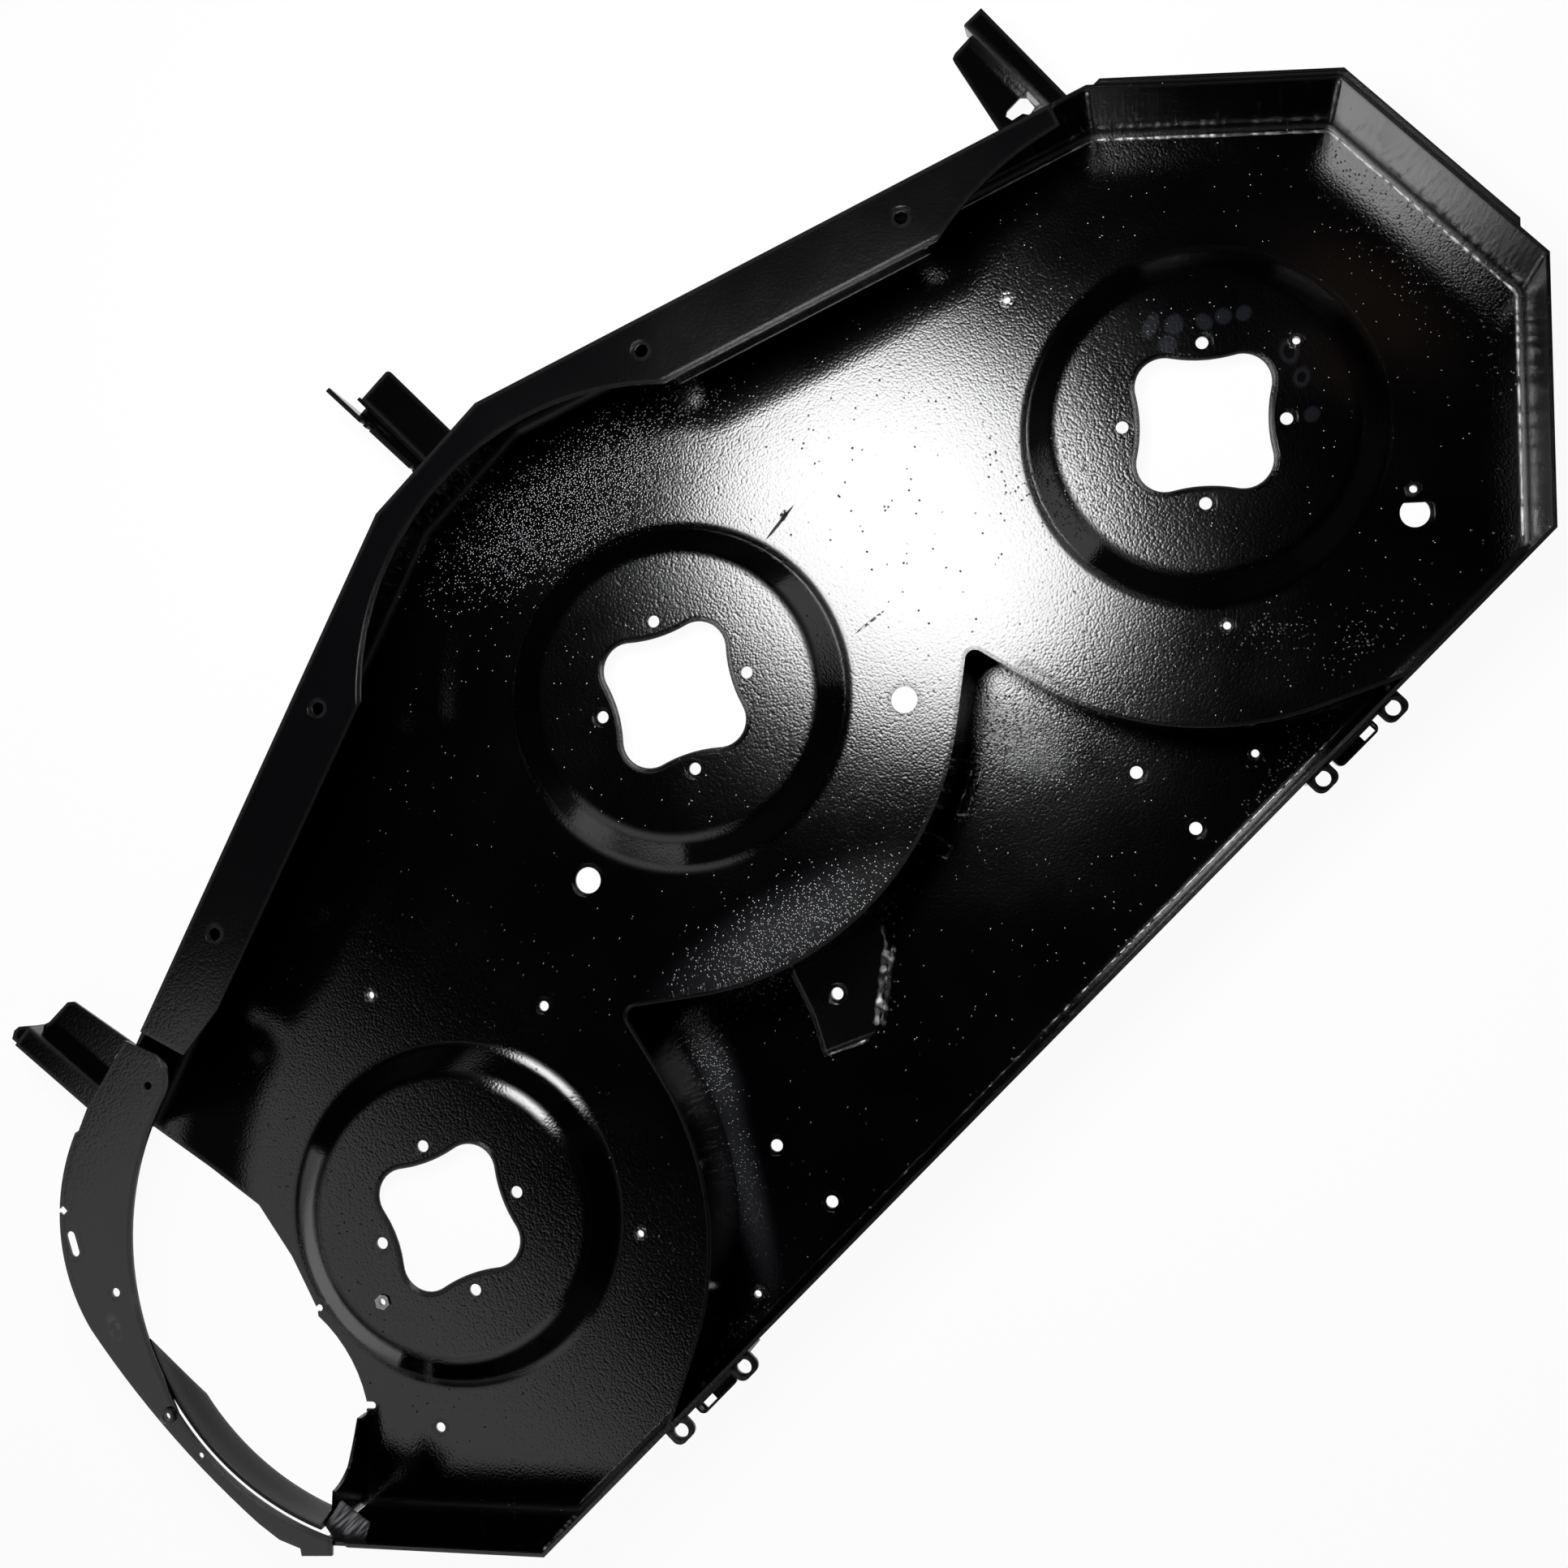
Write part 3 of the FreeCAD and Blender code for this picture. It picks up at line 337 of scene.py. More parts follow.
    @classmethod
    def streaks(cls) -> bpy.types.NodeTree:
        """Builds upright streaks that show on the walls only.

        Returns:
            A group with a height output.
        """
        tree, given, result = cls.start("streaks", {"Low": 0.03, "High": 0.04}, ("Height",))
        drawn = tree.add("ShaderNodeMapping")
        drawn.inputs["Scale"].default_value = (300.0, 300.0, 9.0)
        tree.link(given.outputs["Position"], drawn.inputs["Vector"])
        lines = tree.add("ShaderNodeTexNoise")
        lines.inputs["Scale"].default_value = 1.0
        lines.inputs["Detail"].default_value = 2.0
        tree.link(drawn.outputs[0], lines.inputs["Vector"])
        part = tree.add("ShaderNodeSeparateXYZ")
        tree.link(given.outputs["Position"], part.inputs[0])
        above = tree.add("ShaderNodeMapRange", interpolation_type="SMOOTHSTEP")
        tree.link(part.outputs[2], above.inputs["Value"])
        tree.link(given.outputs["Low"], above.inputs["From Min"])
        tree.link(given.outputs["High"], above.inputs["From Max"])
        tree.link(tree.math("MULTIPLY", lines.outputs[0], above.outputs["Result"]), result.inputs["Height"])
        return tree.tree


class Layers:
    """What lies over the plain tone of one coat."""

    def __init__(self, tree: Tree, position: bpy.types.NodeSocket, patch: bpy.types.NodeTree) -> None:
        """Keeps what every layer needs.

        Args:
            tree: The material's tree.
            position: The position on the deck.
            patch: The group that masks a patch.
        """
        self.tree = tree
        self.position = position
        self.patch = patch

    def mask(self, at: Spot, reach: Spot, turn: float = 0.0, fade: float = 0.35) -> bpy.types.NodeSocket:
        """Masks a patch of the coat.

        Args:
            at: Middle of the patch in the drawing, in mm.
            reach: Its half lengths, in mm.
            turn: Turn about the upright axis, in degrees.
            fade: Share of the reach at which it starts to fade.

        Returns:
            The mask's socket.
        """
        spot = place(*at)
        position = self.position
        if turn:
            turned = self.tree.add("ShaderNodeVectorRotate", rotation_type="Z_AXIS")
            self.tree.link(position, turned.inputs["Vector"])
            turned.inputs["Center"].default_value = spot
            turned.inputs["Angle"].default_value = -math.radians(turn)
            position = turned.outputs[0]
        group = self.tree.add("ShaderNodeGroup", node_tree=self.patch)
        self.tree.link(position, group.inputs["Position"])
        for index, axis in enumerate("XYZ"):
            group.inputs[axis].default_value = spot[index]
            group.inputs["Reach " + axis].default_value = reach[index] / 1000.0
        group.inputs["Fade"].default_value = fade
        return group.outputs["Mask"]

    def amount(self, grits: tuple[Grit, ...], least: float) -> object:
        """Adds up how dense the specks are.

        Args:
            grits: The patches of specks.
            least: The density outside the patches.

        Returns:
            A socket, or a number where there are no patches.
        """
        amount: object = least
        for grit in grits:
            share = self.tree.math("MULTIPLY", self.mask(grit.at, grit.reach, grit.turn, 0.0), grit.amount)
            amount = self.tree.math("ADD", amount, share)
        return amount

    def specks(self, group: bpy.types.NodeTree, amount: object, scale: float, radius: float) -> bpy.types.NodeSocket:
        """Scatters specks of one size.

        Args:
            group: The group that makes specks.
            amount: How dense they are, as a socket or a number.
            scale: Cells per metre.
            radius: Radius of a speck as a share of its cell.

        Returns:
            The specks' height.
        """
        node = self.tree.add("ShaderNodeGroup", node_tree=group)
        self.tree.link(self.position, node.inputs["Position"])
        node.inputs["Scale"].default_value = scale
        node.inputs["Radius"].default_value = radius
        if isinstance(amount, bpy.types.NodeSocket):
            self.tree.link(amount, node.inputs["Amount"])
        else:
            node.inputs["Amount"].default_value = amount
        return node.outputs["Height"]

    def leaning(self, normal: bpy.types.NodeSocket, lean: Lean | None) -> bpy.types.NodeSocket:
        """Leans a sheet that isn't quite level.

        Args:
            normal: The level sheet's normal.
            lean: Where and how much it leans, if it does.

        Returns:
            The leaning sheet's normal.
        """
        if lean is None:
            return normal
        share = self.tree.add("ShaderNodeVectorMath", operation="SCALE")
        share.inputs[0].default_value = (*lean.slope, 0.0)
        self.tree.link(self.mask(lean.at, lean.reach), share.inputs["Scale"])
        total = self.tree.add("ShaderNodeVectorMath", operation="ADD")
        self.tree.link(normal, total.inputs[0])
        self.tree.link(share.outputs[0], total.inputs[1])
        unit = self.tree.add("ShaderNodeVectorMath", operation="NORMALIZE")
        self.tree.link(total.outputs[0], unit.inputs[0])
        return unit.outputs[0]

    def tint(self, colour: object, mark: Mark, share: bpy.types.NodeSocket) -> bpy.types.NodeSocket:
        """Mixes a mark's colour into the coat's.

        Args:
            colour: The colour so far, as a socket or a value.
            mark: The mark.
            share: Where the mark shows.

        Returns:
            The mixed colour's socket.
        """
        mix = self.tree.add("ShaderNodeMix", data_type="RGBA")
        self.tree.link(self.tree.math("MULTIPLY", share, mark.strength), mix.inputs[0])
        if isinstance(colour, bpy.types.NodeSocket):
            self.tree.link(colour, mix.inputs[6])
        else:
            mix.inputs[6].default_value = colour
        mix.inputs[7].default_value = (*mark.colour, 1.0)
        return mix.outputs[2]

    def shown(self, mark: Mark) -> bpy.types.NodeSocket:
        """Masks a mark with its gaps and its clear middle.

        Args:
            mark: The mark.

        Returns:
            The mask's socket.
        """
        share = self.mask(mark.at, mark.size, mark.turn, mark.fade)
        if mark.hollow:
            inside = tuple(side * mark.hollow for side in mark.size)
            clear = self.mask(mark.at, inside, mark.turn, mark.fade)
            share = self.tree.math("MULTIPLY", share, self.tree.math("SUBTRACT", 1.0, clear))
        if not mark.breakup:
            return share
        gaps = self.tree.add("ShaderNodeTexNoise")
        gaps.inputs["Scale"].default_value = mark.breakup
        gaps.inputs["Detail"].default_value = 3.0
        self.tree.link(self.position, gaps.inputs["Vector"])
        return self.tree.math("MULTIPLY", self.tree.ramp(gaps.outputs[0], 0.42, 0.52), share)


class CoatMaker:
    """Turns coats into materials and puts them on the deck's pieces."""

    def __init__(self) -> None:
        """Builds the shared groups."""
        self.peel = Effects.orange_peel()
        self.specks = Effects.specks()
        self.patch = Effects.patch_mask()
        self.streaks = Effects.streaks()
        self.made: dict[Slot, bpy.types.Material] = {}

    def black(self, coat: Coat) -> bpy.types.Material:
        """Builds one black coat.

        Args:
            coat: The coat's values.

        Returns:
            The material.
        """
        material = bpy.data.materials.new(coat.slot.value)
        material.use_nodes = True
        material.node_tree.nodes.clear()
        tree = Tree(material.node_tree)
        output = tree.add("ShaderNodeOutputMaterial")
        shader = tree.add("ShaderNodeBsdfPrincipled")
        tree.link(shader.outputs[0], output.inputs[0])
        position = tree.add("ShaderNodeTexCoord").outputs["Object"]

        peel = tree.add("ShaderNodeGroup", node_tree=self.peel)
        tree.link(position, peel.inputs["Position"])
        peel.inputs["Scale"].default_value = coat.peel_scale
        height = tree.math("MULTIPLY", peel.outputs["Height"], coat.peel_mm)

        layers = Layers(tree, position, self.patch)
        if coat.grits:
            specks = layers.specks(self.specks, layers.amount(coat.grits, 0.002), 380.0, 0.42)
            height = tree.math("ADD", height, tree.math("MULTIPLY", specks, 0.3))
        if coat.sands:
            sand = layers.specks(self.specks, layers.amount(coat.sands, 0.01), 520.0, 0.55)
            height = tree.math("ADD", height, tree.math("MULTIPLY", sand, 0.2))
        if coat.streaks_mm:
            streaks = tree.add("ShaderNodeGroup", node_tree=self.streaks)
            tree.link(position, streaks.inputs["Position"])
            height = tree.math("ADD", height, tree.math("MULTIPLY", streaks.outputs["Height"], coat.streaks_mm))

        bevel = tree.add("ShaderNodeBevel", samples=2)
        bevel.inputs["Radius"].default_value = 0.006
        bump = tree.add("ShaderNodeBump")
        bump.inputs["Strength"].default_value = 1.0
        bump.inputs["Distance"].default_value = 0.001
        tree.link(height, bump.inputs["Height"])
        tree.link(layers.leaning(bevel.outputs[0], coat.lean), bump.inputs["Normal"])
        tree.link(bump.outputs[0], shader.inputs["Normal"])

        cloud = tree.add("ShaderNodeTexNoise")
        cloud.inputs["Scale"].default_value = 9.0
        cloud.inputs["Detail"].default_value = 4.0
        tree.link(position, cloud.inputs["Vector"])
        rough = tree.ramp(cloud.outputs[0], 0.3, 0.7, coat.roughness - 0.02, coat.roughness + 0.02)
        colour: object = (*coat.tone, 1.0)
        for mark in coat.marks:
            share = layers.shown(mark)
            rough = tree.math("ADD", rough, tree.math("MULTIPLY", share, mark.dull))
            colour = layers.tint(colour, mark, share)
        tree.link(rough, shader.inputs["Roughness"])
        shader.inputs["IOR"].default_value = coat.ior
        # Painted shade: the gloss is lowered inside the shade patch so that this part of the coat renders darker.
        if coat.shade is not None:
            gloss = tree.math("SUBTRACT", 0.5, layers.amount((coat.shade,), 0.0))
            tree.link(gloss, shader.inputs["Specular IOR Level"])
        if isinstance(colour, bpy.types.NodeSocket):
            tree.link(colour, shader.inputs["Base Color"])
        else:
            shader.inputs["Base Color"].default_value = colour
        self.made[coat.slot] = material
        return material

    def tab(self) -> bpy.types.Material:
        """Builds the ground bare metal of the corner tab.

        Returns:
            The material.
        """
        material = bpy.data.materials.new(Slot.TAB.value)
        material.use_nodes = True
        material.node_tree.nodes.clear()
        tree = Tree(material.node_tree)
        output = tree.add("ShaderNodeOutputMaterial")
        shader = tree.add("ShaderNodeBsdfPrincipled")
        tree.link(shader.outputs[0], output.inputs[0])
        position = tree.add("ShaderNodeTexCoord").outputs["Object"]
        turn = tree.add("ShaderNodeMapping")
        turn.inputs["Rotation"].default_value = (0.0, 0.0, math.radians(-40.0))
        turn.inputs["Scale"].default_value = (60.0, 900.0, 60.0)
        tree.link(position, turn.inputs["Vector"])
        streaks = tree.add("ShaderNodeTexNoise")
        streaks.inputs["Scale"].default_value = 1.0
        streaks.inputs["Detail"].default_value = 3.0
        tree.link(turn.outputs[0], streaks.inputs["Vector"])
        shade = tree.add("ShaderNodeValToRGB")
        shade.color_ramp.elements[0].position = 0.38
        shade.color_ramp.elements[0].color = (0.04, 0.04, 0.042, 1.0)
        shade.color_ramp.elements[1].position = 0.66
        shade.color_ramp.elements[1].color = (0.19, 0.19, 0.2, 1.0)
        tree.link(streaks.outputs[0], shade.inputs[0])
        tree.link(shade.outputs[0], shader.inputs["Base Color"])
        tree.link(tree.ramp(streaks.outputs[0], 0.4, 0.6, 0.55, 0.3), shader.inputs["Roughness"])
        shader.inputs["Metallic"].default_value = 1.0
        bump = tree.add("ShaderNodeBump")
        bump.inputs["Strength"].default_value = 0.4
        bump.inputs["Distance"].default_value = 0.0003
        tree.link(streaks.outputs[0], bump.inputs["Height"])
        tree.link(bump.outputs[0], shader.inputs["Normal"])
        self.made[Slot.TAB] = material
        return material

    def dress(self, piece: bpy.types.Object, slot: Slot) -> None:
        """Gives a piece one of the finishes."""
        piece.data.materials.clear()
        piece.data.materials.append(self.made[slot])


@dataclass
class WeldBead:
    """A rippled bead of weld along a few points.

    Attributes:
        name: The bead's name, which is not used.
        path: Points of the drawing that the bead runs through, in mm.
        radius: Half width in mm.
        step: Distance between ripples in mm.
        seed: Start of its random unevenness.
    """

    name: str
    path: tuple[tuple[float, float, float], ...]
    radius: float
    step: float = 2.6
    seed: int = 1
    sides: int = 8
    rings: list[Vector] = field(default_factory=list)

    def spaced(self) -> list[Vector]:
        """Walks the path in even steps.

        Returns:
            Points in metres.
        """
        corners = [place(*p) for p in self.path]
        found = [corners[0]]
        for first, last in zip(corners, corners[1:]):
            count = max(1, round((last - first).length * 1000.0 / self.step))
            found += [first.lerp(last, index / count) for index in range(1, count + 1)]
        return found

    def add_to(self, mesh: bmesh.types.BMesh) -> None:
        """Adds the bead to a mesh as one closed tube.

        Args:
            mesh: The mesh that holds the weld's beads.
        """
        chance = random.Random(self.seed)
        points = self.spaced()
        made = bmesh.ops.create_circle(mesh, cap_ends=False, segments=self.sides, radius=1.0)
        ring = made["verts"]
        edges = list({edge for vert in ring for edge in vert.link_edges})
        bmesh.ops.contextual_create(mesh, geom=edges)
        previous: tuple[Vector, Matrix, float] | None = None
        for index, point in enumerate(points):
            ahead = points[min(index + 1, len(points) - 1)] - points[max(index - 1, 0)]
            turn = ahead.to_track_quat("Z", "X").to_matrix().to_4x4()
            taper = 0.45 if index in (0, len(points) - 1) else 1.0
            size = self.radius / 1000.0 * taper * (0.7 + 0.6 * chance.random())
            target = Matrix.Translation(point) @ turn @ Matrix.Scale(size, 4)
            if previous is not None:
                grown = bmesh.ops.extrude_edge_only(mesh, edges=edges)["geom"]
                ring = [item for item in grown if isinstance(item, bmesh.types.BMVert)]
                edges = [item for item in grown if isinstance(item, bmesh.types.BMEdge)]
                back = previous.inverted()
            else:
                back = Matrix.Identity(4)
            bmesh.ops.transform(mesh, matrix=target @ back, verts=ring)
            previous = target
        bmesh.ops.contextual_create(mesh, geom=edges)


@dataclass
class Welding:
    """All the beads that hold the deck's sheets together."""

    finish: Slot = Slot.WELD
    corner_inset: float = 3.6
    corner_radius: float = 2.6

    def wall_corners(self) -> list[WeldBead]:
        """Lists the upright beads in the corners between the bent walls.

        Returns:
            The beads.
        """
        corners = {
            "rear_left": ((548.0, -250.0), (-0.38, 0.92)),
            "end_rear": ((690.0, -108.0), (-0.92, 0.38)),
            "end_front": ((690.0, 94.0), (-0.93, -0.37)),
            "front_left": ((563.0, 232.0), (-0.60, -0.80)),
            "rear_right": ((-548.0, -250.0), (0.38, 0.92)),
        }
        beads = []
        for index, (name, ((x, y), (dx, dy))) in enumerate(corners.items()):
            at = (x + dx * (SHEET_MM + 1.0), y + dy * (SHEET_MM + 1.0))
            path = ((at[0], at[1], 12.0), (at[0], at[1], WALL_MM - 6.0))
            beads.append(WeldBead(name, path, self.corner_radius * 0.62, seed=11 + index))
        return beads

    def patch_edges(self) -> list[WeldBead]:
        """Lists the beads round the patch behind the centre chamber.

        Returns:
            The beads.
        """
        z = SHEET_MM + 1.6
        runs = (
            ((-16.5, -88.0), (-30.0, -108.0), 2.0),
            ((-27.0, -104.0), (-80.0, -143.5), 3.2),
            ((-22.5, -108.0), (-76.0, -148.0), 2.6),
            ((-92.0, -147.0), (-126.0, -131.0), 1.6),
            ((-84.0, -84.0), (-122.0, -128.0), 1.2),
        )
        beads = []
        for index, (first, last, radius) in enumerate(runs):
            beads.append(WeldBead("patch", ((*first, z), (*last, z)), radius, seed=31 + index))
        return beads

    def foot_slots(self) -> list[WeldBead]:
        """Lists the beads round the two slots at the foot of the baffle.

        Returns:
            The beads.
        """
        z = SHEET_MM + 0.4
        long_slot = ((128.0, -54.0, z), (131.0, -60.0, z), (95.0, -78.0, z), (89.5, -71.5, z), (126.0, -55.0, z))
        short_slot = ((66.0, -81.0, z), (68.0, -87.0, z), (58.0, -90.0, z), (56.0, -84.5, z))
        return [WeldBead("long_slot", long_slot, 1.3, seed=51), WeldBead("short_slot", short_slot, 1.2, seed=52)]

    def fold_seams(self) -> list[WeldBead]:
        """Lists the thin beads along the foot of the bent walls and of the baffle.

        Returns:
            The beads.
        """
        inset = SHEET_MM + 4.6
        z = SHEET_MM + 0.1
        end = ((548.0 - 0.41 * inset, -250.0 + inset), (690.0 - inset, -108.0 + 0.41 * inset), (690.0 - inset, 94.0 - 0.5 * inset), (563.0 - 0.7 * inset, 232.0 - 0.8 * inset))
        front = ((563.0 - 0.7 * inset, 232.0 - 0.8 * inset), (420.0, 232.0 + 0.3903 * 143.0 - 1.15 * inset))
        rear = ((410.0, -250.0 + inset), (-545.0, -250.0 + inset))
        return [
            WeldBead("end", tuple((x, y, z) for x, y in end), 1.3, step=2.2, seed=41),
            WeldBead("front", tuple((x, y, z) for x, y in front), 0.8, step=2.2, seed=42),
            WeldBead("rear", tuple((x, y, z) for x, y in rear), 0.8, step=2.2, seed=43),
        ]

    def build(self, maker: CoatMaker) -> bpy.types.Object:
        """Makes the beads as one piece.

        Args:
            maker: Holds the finishes.

        Returns:
            The dressed piece.
        """
        mesh = bmesh.new()
        for bead in self.wall_corners() + self.patch_edges() + self.foot_slots() + self.fold_seams():
            bead.add_to(mesh)
        bmesh.ops.recalc_face_normals(mesh, faces=mesh.faces[:])
        data = bpy.data.meshes.new("weld_beads")
        mesh.to_mesh(data)
        mesh.free()
        for face in data.polygons:
            face.use_smooth = True
        piece = bpy.data.objects.new("weld_beads", data)
        bpy.context.scene.collection.objects.link(piece)
        maker.dress(piece, self.finish)
        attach(piece, "root")
        return piece


@dataclass(frozen=True)
class Splash:
    """A patch of small beads that the welding threw on the plate.

    Attributes:
        at: Its middle in the drawing, in mm.
        reach: Its half lengths along and across, in mm.
        turn: Direction of its length, in degrees.
        count: Number of beads.
        largest: Radius of the largest bead in mm.
    """

    at: Spot
    reach: Point
    turn: float
    count: int
    largest: float = 1.25


@dataclass
class Spatter:
    """The beads of weld spatter that stuck to the plate."""

    patches: tuple[Splash, ...]
    finish: Slot = Slot.WELD
    seed: int = 7

    def build(self, maker: CoatMaker) -> bpy.types.Object:
        """Makes all the small beads as one piece.

        Args:
            maker: Holds the finishes.

        Returns:
            The dressed piece.
        """
        chance = random.Random(self.seed)
        mesh = bmesh.new()
        for patch in self.patches:
            turn = Matrix.Rotation(math.radians(patch.turn), 3, "Z")
            for _ in range(patch.count):
                away = Vector((chance.gauss(0.0, 0.45), chance.gauss(0.0, 0.45), 0.0))
                away = turn @ Vector((away.x * patch.reach[0], away.y * patch.reach[1], 0.0)) / 1000.0
                radius = patch.largest * (0.4 + 0.6 * chance.random() ** 2) / 1000.0
                where = Matrix.Translation(place(*patch.at) + away) @ Matrix.Diagonal((1.0, 1.0, 0.8, 1.0))
                bmesh.ops.create_icosphere(mesh, subdivisions=1, radius=radius, matrix=where)
        data = bpy.data.meshes.new("weld_spatter")
        mesh.to_mesh(data)
        mesh.free()
        for face in data.polygons:
            face.use_smooth = True
        piece = bpy.data.objects.new("weld_spatter", data)
        bpy.context.scene.collection.objects.link(piece)
        maker.dress(piece, self.finish)
        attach(piece, "root")
        return piece


@dataclass
class OpeningLips:
    """Rounded lips along the edges of the three four-lobed openings."""

    seats: tuple[Spot, ...] = ((448.0, 0.0, 45.0), (0.0, 163.4, 60.2), (-448.0, 0.0, 65.6))
    lobe_centre: float = 42.0
    lobe: float = 24.0
    waist: float = 50.0
    top: float = 22.9
    radius: float = 2.4
    flatness: float = 0.6
    overhang: float = 0.4
    steps: int = 96
    finish: Slot = Slot.SHELL

    def reach(self, angle: float) -> float:
        """Works out how far the opening reaches.

        Args:
            angle: Direction from the nearest waist, in radians.

        Returns:
            The distance from the seat's middle in mm.
        """
        half = math.pi / 4
        bow = self.waist**2 + self.lobe_centre**2 - self.lobe**2
        bow -= 2 * self.waist * self.lobe_centre * math.cos(half)
        bow /= 2 * (self.lobe - self.waist + self.lobe_centre * math.cos(half))
        centre = self.waist + bow
        share = self.lobe / (self.lobe + bow)
        join_x = self.lobe_centre * math.cos(half) * (1 - share) + centre * share
        join_y = self.lobe_centre * math.sin(half) * (1 - share)
        if abs(angle) < math.atan2(join_y, join_x):
            return centre * math.cos(angle) - math.sqrt(bow**2 - (centre * math.sin(angle)) ** 2)
        off = half - abs(angle)
        return self.lobe_centre * math.cos(off) + math.sqrt(self.lobe**2 - (self.lobe_centre * math.sin(off)) ** 2)

    def build(self, maker: CoatMaker) -> bpy.types.Object:
        """Makes the lips as one piece.

        Args:
            maker: Holds the finishes.

        Returns:
            The dressed piece.
        """
        middle = self.top - self.radius * self.flatness
        curve = bpy.data.curves.new("lip_path", "CURVE")
        curve.dimensions = "3D"
        curve.bevel_depth = self.radius / 1000.0
        curve.bevel_resolution = 3
        for x, y, turn in self.seats:
            spline = curve.splines.new("POLY")
            spline.points.add(self.steps - 1)
            spline.use_cyclic_u = True
            for index, point in enumerate(spline.points):
                around = 2 * math.pi * index / self.steps
                from_waist = (around + math.pi / 4) % (math.pi / 2) - math.pi / 4
                out = self.reach(from_waist) + self.radius - self.overhang
                angle = around + math.radians(turn)
                spot = place(x + out * math.cos(angle), y + out * math.sin(angle), middle)
                point.co = (*spot, 1.0)
        drawn = bpy.data.objects.new("lip_path", curve)
        bpy.context.scene.collection.objects.link(drawn)
        data = bpy.data.meshes.new_from_object(drawn.evaluated_get(bpy.context.evaluated_depsgraph_get()))
        data.name = "opening_lips"
        for vertex in data.vertices:
            vertex.co.z = middle / 1000.0 + (vertex.co.z - middle / 1000.0) * self.flatness
        bpy.data.objects.remove(drawn)
        for face in data.polygons:
            face.use_smooth = True
        piece = bpy.data.objects.new("opening_lips", data)
        bpy.context.scene.collection.objects.link(piece)
        maker.dress(piece, self.finish)
        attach(piece, "root")
        return piece


@dataclass(frozen=True)
class Softbox:
    """A soft lamp that faces straight down.

    Attributes:
        name: The lamp's name.
        at: Its middle in metres.
        size: Its width and length in metres.
        watts: Its power.
        turn: How far it is turned about the upright axis, in degrees.
        shape: The outline of its screen.
    """

    name: str
    at: tuple[float, float, float]
    size: tuple[float, float]
    watts: float
    turn: float = 0.0
    shape: str = "ELLIPSE"

    def build(self) -> bpy.types.Object:
        """Makes the lamp.

        Returns:
            The lamp.
        """
        data = bpy.data.lights.new(self.name, "AREA")
        data.shape = self.shape
        data.size, data.size_y = self.size
        data.energy = self.watts
        lamp = bpy.data.objects.new(self.name, data)
        lamp.matrix_world = Matrix.Translation(self.at) @ Matrix.Rotation(math.radians(self.turn), 4, "Z")
        bpy.context.scene.collection.objects.link(lamp)
        return lamp


